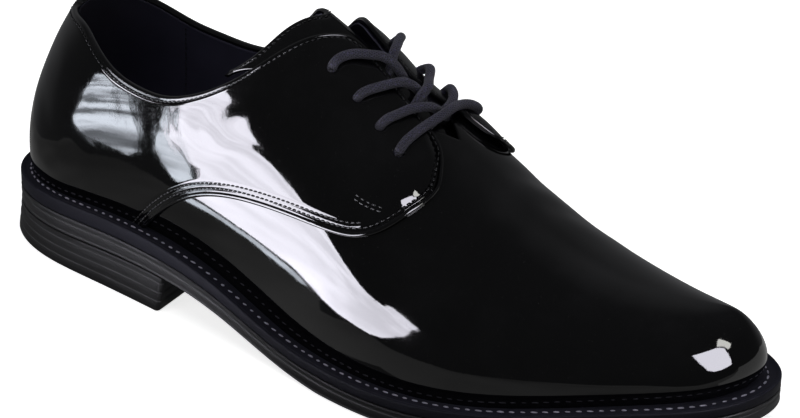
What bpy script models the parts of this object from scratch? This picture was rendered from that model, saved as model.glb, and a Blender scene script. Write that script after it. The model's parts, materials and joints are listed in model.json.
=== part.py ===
"""Plain-toe derby dress shoe, right foot, about EU 42, standing on its sole.

Every curved piece is worked out from one set of functions of the last:
 - turn: angle round the plan outline, 0 at the heel back, 90 at mid length on the
   lateral side, 180 at the toe tip, and back to 360 along the medial side;
 - rise: angle up the side, 0 at the feather line on the welt, 1 on the ridge of the last;
 - lift: distance out from the last's surface.
Lengths are in millimetres until a mesh is made, stations run forward from the heel back,
-Y is the lateral (little toe) side. The origin is the bottom centre of the whole shoe.
"""

import bpy
import bmesh
import numpy as np
from math import pi, radians

MM = 0.001

# ---------------------------------------------------------------- sole outline and heights
LENGTH = 301.0
HEEL_BACK_Y = -1.2
TOE_TIP_Y = 5.4
# station along the shoe, half width to the lateral side, half width to the medial side
OUTLINE = (
    (9.0, 20.7, 21.5),
    (30.0, 30.7, 34.2),
    (55.0, 34.9, 37.1),
    (80.0, 39.0, 34.2),
    (110.0, 44.4, 31.9),
    (140.0, 50.8, 35.9),
    (170.0, 57.5, 43.4),
    (195.0, 58.6, 47.3),
    (220.0, 53.4, 47.5),
    (245.0, 43.1, 43.3),
    (267.0, 32.5, 35.4),
    (287.0, 20.4, 25.6),
)
# station, height of the welt's top, height of the outsole's underside, welt thickness
LEVELS = (
    (0.0, 24.3, 12.2, 5.7),
    (40.0, 26.3, 12.9, 5.7),
    (83.0, 26.2, 13.6, 5.5),
    (110.0, 21.2, 9.9, 4.6),
    (140.0, 12.6, 2.4, 3.9),
    (163.0, 10.8, -0.2, 3.8),
    (200.0, 10.8, -0.5, 3.8),
    (225.0, 12.3, 1.2, 3.8),
    (260.0, 16.6, 6.2, 3.8),
    (300.0, 21.1, 11.3, 3.8),
)

# ---------------------------------------------------------------- last above the welt
RIDGE_START = 34.0
RIDGE_END = 280.0
# station on the ridge, sideways place, height; the first rows are a virtual cone over the ankle
RIDGE = (
    (34.0, 4.8, 103.2),
    (70.0, 2.5, 117.2),
    (105.0, 0.4, 122.3),
    (140.0, -1.1, 110.3),
    (175.0, -1.2, 85.3),
    (210.0, -0.3, 58.9),
    (245.0, 2.6, 44.9),
    (280.0, 6.2, 44.6),
)
# station, section fullness lateral, medial, swell past the feather line lateral, medial
SECTION = (
    (30.0, 1.9, 2.4, 2.4, 2.3),
    (90.0, 2.4, 2.5, 2.2, 2.5),
    (150.0, 2.8, 2.5, 1.8, 1.8),
    (210.0, 2.55, 2.1, 1.85, 1.7),
    (265.0, 2.4, 2.25, 1.9, 2.2),
)
HEEL_FULLNESS = 1.6
TOE_FULLNESS = 2.6
HEEL_SWELL = 2.4
TOE_SWELL = 3.2
# station, distance of the feather line in from the sole's edge
FEATHER = (
    (0.0, 5.4),
    (40.0, 6.9),
    (150.0, 6.4),
    (300.0, 8.2),
)

# ---------------------------------------------------------------- upper
WALL = 1.6
STEP = 1.3
SEAT_GAP = 0.5
THROAT_TURN = 102.0
NOSE_TURN = 104.0
EXTRA_STATIONS = (77.0, 79.3, 81.3, 83.3, 101.8, 103.1, 103.8, 104.1)
# turn in degrees, rise of the collar then of the facing's edge down to its nose: lateral, medial
OPENING = (
    (0.0, 0.665, 0.665),
    (12.0, 0.655, 0.620),
    (22.0, 0.615, 0.555),
    (32.0, 0.551, 0.478),
    (40.0, 0.470, 0.407),
    (47.5, 0.396, 0.350),
    (54.0, 0.363, 0.328),
    (60.0, 0.360, 0.324),
    (66.0, 0.397, 0.350),
    (71.0, 0.463, 0.420),
    (75.0, 0.555, 0.525),
    (78.0, 0.675, 0.665),
    (80.0, 0.790, 0.790),
    (82.0, 0.890, 0.880),
    (84.0, 0.928, 0.918),
    (88.0, 0.926, 0.924),
    (93.0, 0.905, 0.905),
    (98.0, 0.889, 0.872),
    (101.0, 0.858, 0.825),
    (103.0, 0.785, 0.770),
    (104.0, 0.710, 0.720),
)
# turn in degrees, rise of the quarter's lower seam, which climbs from the welt to the nose
SEAM = (
    (50.0, -0.150),
    (57.5, -0.010),
    (61.5, 0.061),
    (66.0, 0.128),
    (72.5, 0.200),
    (79.0, 0.256),
    (86.0, 0.308),
    (93.0, 0.358),
    (97.0, 0.402),
    (100.5, 0.482),
    (102.8, 0.585),
    (104.0, 0.700),
)
# turn in degrees of each row of eyelets
EYELET_ROWS = (85.3, 89.9, 94.0, 97.8)
EYELET_ACROSS = 0.295
EYELET_RADIUS = 2.1

# ---------------------------------------------------------------- tongue, insole, sole, heel
TONGUE_LIFT = -2.85
TONGUE_CROWN = 2.0
TONGUE_THICK = 2.2
TONGUE_TOP = 76.9
TONGUE_DROP = 3.2
TONGUE_ROUND = 2.6
TONGUE_ROOT = 105.0
TONGUE_HALF = 0.45
TONGUE_ROOT_HALF = 0.26
INSOLE_THICK = 3.0
INSOLE_GAP = 2.2
SEAM_GAP = 0.3
CHANNEL_DEPTH = 0.8
RIB = 0.5
HEEL_BREAST = 83.3
BREAST_SLANT = 1.7
HEEL_FLARE = 1.3
HEEL_CORNER = 5.0
HEEL_RIBS = (0.22, 0.43, 0.64, 0.85)
OUTSOLE_RIB = 0.38

# ---------------------------------------------------------------- lace: turn, across, lift
LACE_RADIUS = 1.9
LACE_RUNS = {
    "bar": ((97.8, -0.305, 4.0), (97.2, -0.24, 4.2), (97.4, -0.12, 4.6), (97.6, 0.0, 4.8),
            (97.8, 0.12, 4.6), (97.9, 0.23, 4.2), (98.0, 0.30, 4.0)),
    "near_3": ((94.0, -0.30, 4.0), (94.2, -0.24, 3.9), (95.0, -0.15, 3.9), (96.0, -0.08, 3.9),
               (97.1, -0.01, 3.9)),
    "far_3": ((94.3, 0.29, 4.0), (94.6, 0.22, 3.9), (95.3, 0.13, 4.3), (96.2, 0.04, 4.3),
              (97.3, -0.02, 3.2)),
    "near_2": ((89.6, -0.30, 4.0), (89.8, -0.23, 3.9), (90.9, -0.15, 3.9), (92.1, -0.08, 3.9),
               (93.3, -0.02, 3.3)),
    "far_2": ((90.3, 0.29, 4.0), (90.8, 0.21, 3.9), (91.9, 0.12, 4.3), (93.4, 0.02, 4.7),
              (94.6, -0.06, 4.4), (95.2, -0.11, 4.0)),
    "near_1": ((85.0, -0.30, 4.0), (85.1, -0.22, 3.9), (86.3, -0.13, 3.9), (88.2, -0.06, 3.9),
               (90.2, -0.05, 3.8), (92.1, -0.07, 3.8)),
    "far_1": ((86.2, 0.29, 4.0), (86.5, 0.19, 3.9), (87.2, 0.08, 3.9), (88.0, 0.0, 3.8),
              (88.4, -0.05, 3.8)),
}

STEP_LENGTH = 14.0
STEP_BEND = 16.0
HEEL_STEPS = 25
TOE_STEPS = 15
VAMP_ROWS = 5
QUARTER_ROWS = 6
THROAT_ROWS = 4
STEP_SLOPE = 0.004

LEATHER = ((0.012, 0.012, 0.014), 0.08, 0.0)
LINING = ((0.018, 0.020, 0.040), 0.75, 0.0)
RUBBER = ((0.045, 0.046, 0.052), 0.60, 0.0)
CORD = ((0.030, 0.031, 0.048), 0.85, 0.0)


# ---------------------------------------------------------------- smooth tables
def spline(knots, values, period=None):
    """Cubic spline through a table: natural at its ends, or closed over a period."""
    k = np.asarray(knots, float)
    v = np.asarray(values, float)
    if period is not None:
        k = np.append(k, k[0] + period)
        v = np.append(v, v[0])
    h = np.diff(k)
    slope = np.diff(v) / h
    n = len(k)
    a = np.zeros((n, n))
    b = np.zeros(n)
    for i in range(1, n - 1):
        a[i, i - 1:i + 2] = h[i - 1], 2 * (h[i - 1] + h[i]), h[i]
        b[i] = 6 * (slope[i] - slope[i - 1])
    if period is None:
        a[0, 0] = a[-1, -1] = 1
    else:
        a[0, 0], a[0, -1] = 1, -1
        a[-1, 0], a[-1, 1], a[-1, -2], a[-1, -1] = 2 * h[0], h[0], h[-1], 2 * h[-1]
        b[-1] = 6 * (slope[0] - slope[-1])
    m = np.linalg.solve(a, b)

    def value(x):
        x = np.asarray(x, float)
        if period is not None:
            x = k[0] + np.mod(x - k[0], period)
        i = np.clip(np.searchsorted(k, x, side="right") - 1, 0, n - 2)
        p = (k[i + 1] - x) / h[i]
        q = (x - k[i]) / h[i]
        bend = (p ** 3 - p) * m[i] + (q ** 3 - q) * m[i + 1]
        return p * v[i] + q * v[i + 1] + bend * h[i] ** 2 / 6

    return value


def column(table, index):
    return [row[index] for row in table]


def around(stations, lateral, medial, heel, toe):
    """Closed spline over the turn, from values given by station on each side."""
    turn = np.arccos(1 - 2 * np.asarray(stations) / LENGTH)
    knots = np.concatenate(([0.0], turn, [pi], (2 * pi - turn)[::-1]))
    values = [heel, *lateral, toe, *reversed(medial)]
    return spline(knots, values, 2 * pi)


OUTLINE_Y = around(column(OUTLINE, 0), [-w for w in column(OUTLINE, 1)], column(OUTLINE, 2),
                   HEEL_BACK_Y, TOE_TIP_Y)
FULLNESS = around(column(SECTION, 0), column(SECTION, 1), column(SECTION, 2),
                  HEEL_FULLNESS, TOE_FULLNESS)
SWELL = around(column(SECTION, 0), column(SECTION, 3), column(SECTION, 4), HEEL_SWELL, TOE_SWELL)
WELT_TOP = spline(column(LEVELS, 0), column(LEVELS, 1))
UNDERSIDE = spline(column(LEVELS, 0), column(LEVELS, 2))
WELT_THICK = spline(column(LEVELS, 0), column(LEVELS, 3))
RIDGE_Y = spline(column(RIDGE, 0), column(RIDGE, 1))
RIDGE_Z = spline(column(RIDGE, 0), column(RIDGE, 2))
FEATHER_INSET = spline(column(FEATHER, 0), column(FEATHER, 1))


def by_nose(table, index):
    """Spline of a rise table over a parameter that stays smooth round the facing's nose."""
    way = spline([np.arcsin(min(1.0, row[0] / NOSE_TURN)) for row in table], column(table, index))
    return lambda degrees: way(np.arcsin(np.clip(np.asarray(degrees) / NOSE_TURN, 0, 1)))


LATERAL_RISE = by_nose(OPENING, 1)
MEDIAL_RISE = by_nose(OPENING, 2)
SEAM_RISE = by_nose(SEAM, 1)


def opening_rise(degrees):
    """Rise of the opening's edge; degrees are negative on the medial side."""
    rise = LATERAL_RISE(degrees) if degrees >= 0 else MEDIAL_RISE(-degrees)
    return float(rise)


# ---------------------------------------------------------------- the last
def edge(turn, inset):
    """Plan point on the sole's outline, moved in by inset."""
    x = LENGTH * (1 - np.cos(turn)) / 2
    y = OUTLINE_Y(turn)
    d = 1e-4
    dx = LENGTH * (np.cos(turn - d) - np.cos(turn + d)) / 2
    dy = OUTLINE_Y(turn + d) - OUTLINE_Y(turn - d)
    size = np.hypot(dx, dy)
    return x - dy / size * inset, y + dx / size * inset


def last_point(turn, rise):
    """Point on the last's surface: a superellipse quarter from the feather line to the ridge."""
    station = LENGTH * (1 - np.cos(turn)) / 2
    fx, fy = edge(turn, FEATHER_INSET(station))
    fz = WELT_TOP(fx) - SEAT_GAP
    rx = RIDGE_START + (RIDGE_END - RIDGE_START) * (1 - np.cos(turn)) / 2
    ry = RIDGE_Y(rx)
    rz = RIDGE_Z(rx)
    c = np.cos(rise * pi / 2)
    s = np.sin(rise * pi / 2)
    n = FULLNESS(turn)
    r = (np.abs(c) ** n + np.abs(s) ** n) ** (-1 / n)
    out = r * c
    up = r * s
    ex, ey = edge(turn, 0.0)
    ox, oy = edge(turn, -1.0)
    swell = 6.75 * up * (1 - up) ** 2 * SWELL(turn)
    return np.array([rx + (fx - rx) * out + (ox - ex) * swell,
                     ry + (fy - ry) * out + (oy - ey) * swell,
                     fz + (rz - fz) * up])


def lifted(turn, rise, lift):
    """Point at a distance out from the last's surface."""
    d = 1e-3
    along = last_point(turn + d, rise) - last_point(turn - d, rise)
    upward = last_point(turn, rise + d) - last_point(turn, rise - d)
    normal = np.cross(along, upward)
    size = np.linalg.norm(normal)
    normal = normal / size if size > 1e-9 else np.array([0.0, 0.0, 1.0])
    return last_point(turn, rise) + normal * lift


def lifted_across(degrees, across, lift):
    """The same, by distance across the ridge: negative is lateral, positive medial."""
    turn = radians(degrees) if across <= 0 else 2 * pi - radians(degrees)
    return lifted(turn, 1 - abs(across), lift)


# ---------------------------------------------------------------- frame and materials
def even_turns(start, end, steps):
    """Turns between two, closer together where the outline bends."""
    turn = np.linspace(start, end, 721)
    x, y = edge(turn, 0.0)
    dx = np.diff(x)
    dy = np.diff(y)
    bend = np.abs(np.diff(np.unwrap(np.arctan2(dy, dx))))
    cost = np.hypot(dx, dy) / STEP_LENGTH + np.append(bend, bend[-1]) / radians(STEP_BEND)
    way = np.append(0.0, np.cumsum(cost))
    return np.interp(np.linspace(0, way[-1], steps + 1), way, turn)


HALF_TURNS = np.concatenate((even_turns(0.0, radians(THROAT_TURN), HEEL_STEPS)[:-1],
                             even_turns(radians(THROAT_TURN), pi, TOE_STEPS)))
ALL_TURNS = np.concatenate((HALF_TURNS, 2 * pi - HALF_TURNS[-2:0:-1]))


def frame_shift():
    """Moves the whole shoe's box to be centred over the origin."""
    x, y = edge(np.linspace(0, 2 * pi, 1441), 0.0)
    return np.array([(x.max() + x.min() - HEEL_FLARE) / 2, (y.max() + y.min()) / 2, 0.0])


SHIFT = frame_shift()


def new_material(name, look):
    material = bpy.data.materials.new(name)
    material.use_nodes = True
    shader = material.node_tree.nodes["Principled BSDF"]
    shader.inputs["Base Color"].default_value = (*look[0], 1.0)
    shader.inputs["Roughness"].default_value = look[1]
    shader.inputs["Metallic"].default_value = look[2]
    return material


def new_collection(name):
    collection = bpy.data.collections.new(name)
    bpy.context.scene.collection.children.link(collection)
    return collection


def new_object(name, vertices, faces, collection, look=None, closed=True):
    mesh = bpy.data.meshes.new(name)
    mesh.from_pydata([tuple((np.asarray(v) - SHIFT) * MM) for v in vertices], [], faces)
    if closed:
        bm = bmesh.new()
        bm.from_mesh(mesh)
        bmesh.ops.recalc_face_normals(bm, faces=bm.faces)
        bm.to_mesh(mesh)
        bm.free()
    mesh.shade_smooth()
    mesh.set_sharp_from_angle(angle=radians(35))
    obj = bpy.data.objects.new(name, mesh)
    collection.objects.link(obj)
    if look is None:
        obj.hide_render = True
        obj.display_type = "WIRE"
    else:
        mesh.materials.append(new_material(name, look))
    return obj


def solidify(obj, thickness):
    shell = obj.modifiers.new("wall", "SOLIDIFY")
    shell.thickness = thickness * MM
    shell.offset = -1
    shell.use_even_offset = True


def boolean(obj, other, operation):
    modifier = obj.modifiers.new(operation.lower(), "BOOLEAN")
    modifier.operation = operation
    modifier.object = other
    modifier.solver = "EXACT"


# ---------------------------------------------------------------- mesh builders
def bands(rings, count, closed_ring=True):
    """Quads between rings that each hold the same number of points."""
    faces = []
    last = count if closed_ring else count - 1
    for k in range(rings - 1):
        for i in range(last):
            j = (i + 1) % count
            faces.append((k * count + i, k * count + j, (k + 1) * count + j, (k + 1) * count + i))
    return faces


def cap(start, pairs, flip):
    """Closes a loop of 2 * pairs points, mirrored about its first and last, with cross strips."""
    count = 2 * pairs
    faces = []
    for i in range(pairs):
        a, b = start + i, start + i + 1
        c, d = start + (count - i - 1) % count, start + (count - i) % count
        face = [a, b, c, d]
        face = [p for n, p in enumerate(face) if p not in face[:n]]
        faces.append(tuple(reversed(face)) if flip else tuple(face))
    return faces


def stacked(name, loops, collection, look):
    """Solid of loops of equal count, from the lowest to the highest, capped at both ends."""
    count = len(loops[0])
    vertices = [point for loop in loops for point in loop]
    faces = bands(len(loops), count)
    faces += cap(0, count // 2, True)
    faces += cap((len(loops) - 1) * count, count // 2, False)
    return new_object(name, vertices, faces, collection, look)


def outline_loop(inset, height):
    """Loop round the sole; height is a function of the station."""
    x, y = edge(ALL_TURNS, inset)
    return list(zip(x, y, height(x)))


def ground(x):
    """Underside of the outsole, flat on the floor under the ball of the foot."""
    return np.maximum(UNDERSIDE(x), 0.0)


def rib_levels(share):
    """Insets and shares of the height for a groove with chamfered lips."""
    half = 0.025
    return ((0.0, share - 2 * half), (RIB, share - half), (RIB, share + half), (0.0, share + 2 * half))


# ---------------------------------------------------------------- sole
def build_outsole(collection):
    def top(x):
        return WELT_TOP(x) - WELT_THICK(x) - SEAM_GAP

    def level(share):
        return lambda x: ground(x) + (top(x) - ground(x)) * share

    ring = WELT_RING + SEAM_GAP
    loops = [outline_loop(1.4, ground), outline_loop(0.0, level(0.14))]
    loops += [outline_loop(inset, level(share)) for inset, share in rib_levels(OUTSOLE_RIB)]
    loops += [outline_loop(0.0, top), outline_loop(ring, top)]
    loops += [outline_loop(ring, lambda x: WELT_TOP(x) - CHANNEL_DEPTH)]
    return stacked("outsole", loops, collection, RUBBER)


WELT_RING = 16.0
# distance in from the edge, depth below the welt's top; a raised rim beside the stitch channel
WELT_PROFILE = (
    (0.0, 1.0),
    (0.5, 0.2),
    (1.1, 0.0),
    (1.7, 0.1),
    (2.4, CHANNEL_DEPTH),
    (WELT_RING, CHANNEL_DEPTH),
)


def build_welt(collection):
    def depth(value):
        return lambda x: WELT_TOP(x) - value

    def base(x):
        return WELT_TOP(x) - WELT_THICK(x)

    loops = [outline_loop(WELT_RING, base), outline_loop(0.0, base)]
    loops += [outline_loop(inset, depth(value)) for inset, value in WELT_PROFILE]
    count = len(loops[0])
    faces = bands(len(loops), count)
    last = (len(loops) - 1) * count
    faces += [(last + i, last + (i + 1) % count, (i + 1) % count, i) for i in range(count)]
    return new_object("welt", [p for loop in loops for p in loop], faces, collection, RUBBER)


def heel_loop(inset, share):
    """Loop round the heel block: the sole's curve, rounded corners and a straight breast."""
    flare = HEEL_FLARE * (1 - share)
    breast = HEEL_BREAST + BREAST_SLANT * share
    start = np.arccos(1 - 2 * (breast - HEEL_CORNER) / LENGTH)
    turns = np.linspace(0, start, 13)
    sides = []
    for sign in (1, -1):
        x, y = edge(turns if sign > 0 else 2 * pi - turns, inset - flare)
        side = list(zip(x, y))
        centre_y = y[-1] + sign * HEEL_CORNER
        reach = breast - x[-1]
        for angle in np.linspace(0, pi / 2, 4)[1:]:
            side.append((x[-1] + reach * np.sin(angle), centre_y - sign * HEEL_CORNER * np.cos(angle)))
        sides.append(side)
    lateral, medial = sides
    bridge = (lateral[-1][0], (lateral[-1][1] + medial[-1][1]) / 2)
    plan = lateral + [bridge] + medial[:0:-1]
    return [(x, y, (UNDERSIDE(x) - SEAM_GAP) * share) for x, y in plan]


def build_heel(collection):
    loops = [heel_loop(0.8, 0.0), heel_loop(0.0, 0.06)]
    for share in HEEL_RIBS:
        loops += [heel_loop(inset, level) for inset, level in rib_levels(share)]
    loops += [heel_loop(0.0, 1.0)]
    return stacked("heel", loops, collection, RUBBER)


def build_insole(collection):
    def loop(extra, height):
        station = LENGTH * (1 - np.cos(ALL_TURNS)) / 2
        x, y = edge(ALL_TURNS, FEATHER_INSET(station) + extra)
        return list(zip(x, y, WELT_TOP(x) + height))

    low = SEAM_GAP - CHANNEL_DEPTH
    loops = [loop(INSOLE_GAP, low), loop(INSOLE_GAP, low + INSOLE_THICK - 1.0)]
    loops += [loop(INSOLE_GAP + 1.0, low + INSOLE_THICK)]
    return stacked("insole", loops, collection, LINING)


# ---------------------------------------------------------------- upper
def wall_rows(degrees):
    """Rises and lifts up the outside of the wall: vamp, step, quarter, step, vamp again."""
    side = abs(degrees)
    if side > NOSE_TURN:
        share = (side - NOSE_TURN) / (180.0 - NOSE_TURN)
        seam, top, step = 0.69 - 0.25 * share, 0.73 + 0.12 * share, 0.0
    else:
        seam, top, step = max(0.0, float(SEAM_RISE(side))), opening_rise(degrees), STEP
    foot = 0.0 if seam > 0 else step
    rows = [(seam * j / VAMP_ROWS, foot) for j in range(VAMP_ROWS + 1)]
    rows += [(seam + (top - seam) * j / QUARTER_ROWS, step) for j in range(QUARTER_ROWS + 1)]
    if side < THROAT_TURN - 0.01:
        rows += [(top, step)] * (THROAT_ROWS + 1)
    else:
        over = top + (STEP_SLOPE if step else 0.0)
        rows += [(over + (1 - over) * j / THROAT_ROWS, 0.0) for j in range(THROAT_ROWS + 1)]
    return rows


def build_wall(collection):
    """Closed solid of both sides, whose outside steps out where the quarters lap the vamp."""
    half = sorted(set(HALF_TURNS) | {radians(extra) for extra in EXTRA_STATIONS})
    turns = half + [2 * pi - turn for turn in half[-2:0:-1]]
    vertices = []
    known = {}

    def vertex(turn, rise, lift):
        if rise > 0.9999 and turn > pi:
            turn = 2 * pi - turn
        point = lifted(turn, rise, lift)
        key = tuple(np.round(point, 5))
        if key not in known:
            known[key] = len(vertices)
            vertices.append(point)
        return known[key]

    outside = []
    inside = []
    for turn in turns:
        rows = wall_rows(np.degrees(turn if turn <= pi else turn - 2 * pi))
        outside.append([vertex(turn, rise, lift) for rise, lift in rows])
        inside.append([vertex(turn, rise, -WALL) for rise, lift in rows])
    faces = []

    def add(face):
        face = [p for k, p in enumerate(face) if p not in face[:k]]
        if len(face) > 2:
            faces.append(tuple(face))

    for i in range(len(turns)):
        n = (i + 1) % len(turns)
        for j in range(len(outside[i]) - 1):
            add([outside[i][j], outside[n][j], outside[n][j + 1], outside[i][j + 1]])
            add([inside[i][j + 1], inside[n][j + 1], inside[n][j], inside[i][j]])
        add([outside[n][0], outside[i][0], inside[i][0], inside[n][0]])
        shut = [THROAT_TURN - 0.01 < np.degrees(min(t, 2 * pi - t)) for t in (turns[i], turns[n])]
        if not all(shut):
            add([outside[i][-1], outside[n][-1], inside[n][-1], inside[i][-1]])
    return new_object("upper", vertices, faces, collection, LEATHER)


def build_eyelet_cutters(collection):
    """One punch through the facing at each eyelet, square to the surface."""
    punches = []
    for row in EYELET_ROWS:
        for side in (-1, 1):
            low = lifted_across(row, side * EYELET_ACROSS, -5.0)
            high = lifted_across(row, side * EYELET_ACROSS, 5.0)
            punches.append((low, high))
    vertices = []
    faces = []
    sides = 10
    for low, high in punches:
        axis = (high - low) / np.linalg.norm(high - low)
        first = np.cross(axis, (1.0, 0.0, 0.0))
        first /= np.linalg.norm(first)
        second = np.cross(axis, first)
        base = len(vertices)
        for end in (low, high):
            for k in range(sides):
                angle = 2 * pi * k / sides
                spoke = first * np.cos(angle) + second * np.sin(angle)
                vertices.append(end + spoke * EYELET_RADIUS)
        for k in range(sides):
            n = (k + 1) % sides
            faces.append((base + k, base + n, base + sides + n, base + sides + k))
        faces.append(tuple(base + k for k in reversed(range(sides))))
        faces.append(tuple(base + sides + k for k in range(sides)))
    return new_object("eyelet_punches", vertices, faces, collection)


def build_upper(collection, cutters):
    upper = build_wall(collection)
    boolean(upper, build_eyelet_cutters(cutters), "DIFFERENCE")
    return upper


def build_tongue(collection):
    """Leaf over the instep, under both facings and the vamp's edge."""
    rows = 13
    columns = 12
    vertices = []
    for i in range(rows + 1):
        share = i / rows
        half = TONGUE_HALF + (TONGUE_ROOT_HALF - TONGUE_HALF) * share
        for j in range(columns + 1):
            side = 2 * j / columns - 1
            top = TONGUE_TOP - TONGUE_DROP * side ** 2 + TONGUE_ROUND * side ** 8
            degrees = top + (TONGUE_ROOT - top) * share
            crown = TONGUE_CROWN * (1 - side ** 2) ** 2 * (1 - share) ** 8
            vertices.append(lifted_across(degrees, half * side, TONGUE_LIFT + crown))
    faces = [tuple(reversed(face)) for face in bands(rows + 1, columns + 1, closed_ring=False)]
    tongue = new_object("tongue", vertices, faces, collection, LEATHER, closed=False)
    solidify(tongue, TONGUE_THICK)
    return tongue


# ---------------------------------------------------------------- lace
def lace_run(name, points, collection):
    """Closed tube along a smooth curve through the run's own points."""
    knots = np.arange(len(points))
    places = np.array([lifted_across(*point) for point in points])
    tracks = [spline(knots, places[:, axis]) for axis in range(3)]
    steps = np.linspace(0, len(points) - 1, 2 * len(points) - 1)
    curve = bpy.data.curves.new(name, "CURVE")
    curve.dimensions = "3D"
    curve.bevel_depth = LACE_RADIUS * MM
    curve.bevel_resolution = 2
    curve.use_fill_caps = True
    line = curve.splines.new("POLY")
    line.points.add(len(steps) - 1)
    for target, step in zip(line.points, steps):
        place = (np.array([float(track(step)) for track in tracks]) - SHIFT) * MM
        target.co = (*place, 1.0)
    guide = bpy.data.objects.new(name + "_curve", curve)
    collection.objects.link(guide)
    bpy.context.view_layer.update()
    evaluated = guide.evaluated_get(bpy.context.evaluated_depsgraph_get())
    mesh = bpy.data.meshes.new_from_object(evaluated)
    tube = bpy.data.objects.new(name, mesh)
    tube.matrix_world = guide.matrix_world
    bpy.data.objects.remove(guide)
    bm = bmesh.new()
    bm.from_mesh(mesh)
    bmesh.ops.remove_doubles(bm, verts=bm.verts, dist=0.00001)
    bmesh.ops.recalc_face_normals(bm, faces=bm.faces)
    bm.to_mesh(mesh)
    bm.free()
    collection.objects.link(tube)
    return tube


def build_laces(collection, cutters):
    """The bar over the lowest eyelets with every crossing above it, joined in one piece."""
    runs = list(LACE_RUNS.items())
    laces = lace_run("laces", runs[0][1], collection)
    laces.data.materials.clear()
    laces.data.materials.append(new_material("laces", CORD))
    for name, points in runs[1:]:
        run = lace_run("lace_" + name, points, cutters)
        run.hide_render = True
        run.display_type = "WIRE"
        boolean(laces, run, "UNION")
    return laces


def main():
    for obj in list(bpy.data.objects):
        bpy.data.objects.remove(obj)
    shoe = new_collection("derby_shoe")
    cutters = new_collection("cutters")
    build_outsole(shoe)
    build_welt(shoe)
    build_heel(shoe)
    build_insole(shoe)
    build_upper(shoe, cutters)
    build_tongue(shoe)
    build_laces(shoe, cutters)


main()
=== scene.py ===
"""Black patent derby dress shoe, right foot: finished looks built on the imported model.

Curved pieces are worked out on the surface of the last:
 - turn: angle round the plan outline, 0 at the heel back, 90 at mid length on the outer
   side, 180 at the toe tip; the inner side has negative turns;
 - rise: angle up the side, 0 at the feather line on the welt, 1 on the ridge;
 - lift: distance out from the last's surface.
Lengths are in millimetres until a mesh is made.
"""

import json
from math import cos, pi, radians, sin

import bpy
import numpy as np
from bpy.props import FloatProperty, FloatVectorProperty, PointerProperty
from mathutils import Matrix, Vector
from mathutils.kdtree import KDTree

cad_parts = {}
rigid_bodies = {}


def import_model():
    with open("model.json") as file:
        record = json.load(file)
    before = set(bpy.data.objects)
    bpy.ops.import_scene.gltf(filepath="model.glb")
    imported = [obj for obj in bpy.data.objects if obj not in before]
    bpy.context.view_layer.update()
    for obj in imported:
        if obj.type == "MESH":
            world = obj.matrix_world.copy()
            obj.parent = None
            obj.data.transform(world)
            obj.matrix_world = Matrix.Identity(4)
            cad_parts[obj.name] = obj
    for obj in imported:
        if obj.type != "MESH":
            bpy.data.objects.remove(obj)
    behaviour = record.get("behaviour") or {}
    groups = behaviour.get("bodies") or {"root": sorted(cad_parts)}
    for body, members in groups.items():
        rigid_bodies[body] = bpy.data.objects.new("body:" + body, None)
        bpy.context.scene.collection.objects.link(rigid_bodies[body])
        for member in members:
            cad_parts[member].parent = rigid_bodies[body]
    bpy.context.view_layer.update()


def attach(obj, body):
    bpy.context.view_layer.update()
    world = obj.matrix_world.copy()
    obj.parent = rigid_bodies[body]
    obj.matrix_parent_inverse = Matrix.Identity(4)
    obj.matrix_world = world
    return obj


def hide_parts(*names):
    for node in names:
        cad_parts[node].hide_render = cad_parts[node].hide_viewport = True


bl_info = {
    "name": "Patent derby shoe",
    "version": (1, 0, 0),
    "blender": (4, 5, 0),
    "location": "View3D > Sidebar > Shoe",
    "description": "Builds a right-foot patent derby shoe, piece by piece",
    "category": "Object",
}

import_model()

MM = 0.001

# ---------------------------------------------------------------- the last and the sole
LENGTH = 301.0
HEEL_BACK_Y = -1.2
TOE_TIP_Y = 5.4
HEEL_FLARE = 1.3
# station along the shoe, half width to the outer side, half width to the inner side
OUTLINE = (
    (9.0, 20.7, 21.5), (30.0, 30.7, 34.2), (55.0, 34.9, 37.1), (80.0, 39.0, 34.2),
    (110.0, 44.4, 31.9), (140.0, 50.8, 35.9), (170.0, 57.5, 43.4), (195.0, 58.6, 47.3),
    (220.0, 53.4, 47.5), (245.0, 43.1, 43.3), (267.0, 32.5, 35.4), (287.0, 20.4, 25.6),
)
# station, height of the welt's top, height of the outsole's underside, welt thickness
LEVELS = (
    (0.0, 24.3, 12.2, 5.7), (40.0, 26.3, 12.9, 5.7), (83.0, 26.2, 13.6, 5.5),
    (110.0, 21.2, 9.9, 4.6), (140.0, 12.6, 2.4, 3.9), (163.0, 10.8, -0.2, 3.8),
    (200.0, 10.8, -0.5, 3.8), (225.0, 12.3, 1.2, 3.8), (260.0, 16.6, 6.2, 3.8),
    (300.0, 21.1, 11.3, 3.8),
)
RIDGE_START = 34.0
RIDGE_END = 280.0
# station on the ridge, sideways place, height
RIDGE = (
    (34.0, 4.8, 103.2), (70.0, 2.5, 117.2), (105.0, 0.4, 122.3), (140.0, -1.1, 110.3),
    (175.0, -1.2, 85.3), (210.0, -0.3, 58.9), (245.0, 2.6, 44.9), (280.0, 6.2, 44.6),
)
# station, section fullness outer and inner side, swell past the feather line outer and inner
SECTION = (
    (30.0, 1.9, 2.4, 2.4, 2.3), (90.0, 2.4, 2.5, 2.2, 2.5), (150.0, 2.8, 2.5, 1.8, 1.8),
    (210.0, 2.55, 2.1, 1.85, 1.7), (265.0, 2.4, 2.25, 1.9, 2.2),
)
HEEL_FULLNESS = 1.6
TOE_FULLNESS = 2.6
HEEL_SWELL = 2.4
TOE_SWELL = 3.2
# station, distance of the feather line in from the sole's edge
FEATHER = ((0.0, 5.4), (40.0, 6.9), (150.0, 6.4), (300.0, 8.2))
SEAT_GAP = 0.5

# ---------------------------------------------------------------- the upper's own lines
NOSE_TURN = 104.0
INNER_NOSE_REACH = 0.9
INNER_NOSE_LIFT = 2.3
OUTER_NOSE_LIFT = 0.35
QUARTER_LIFT = 1.3
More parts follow.
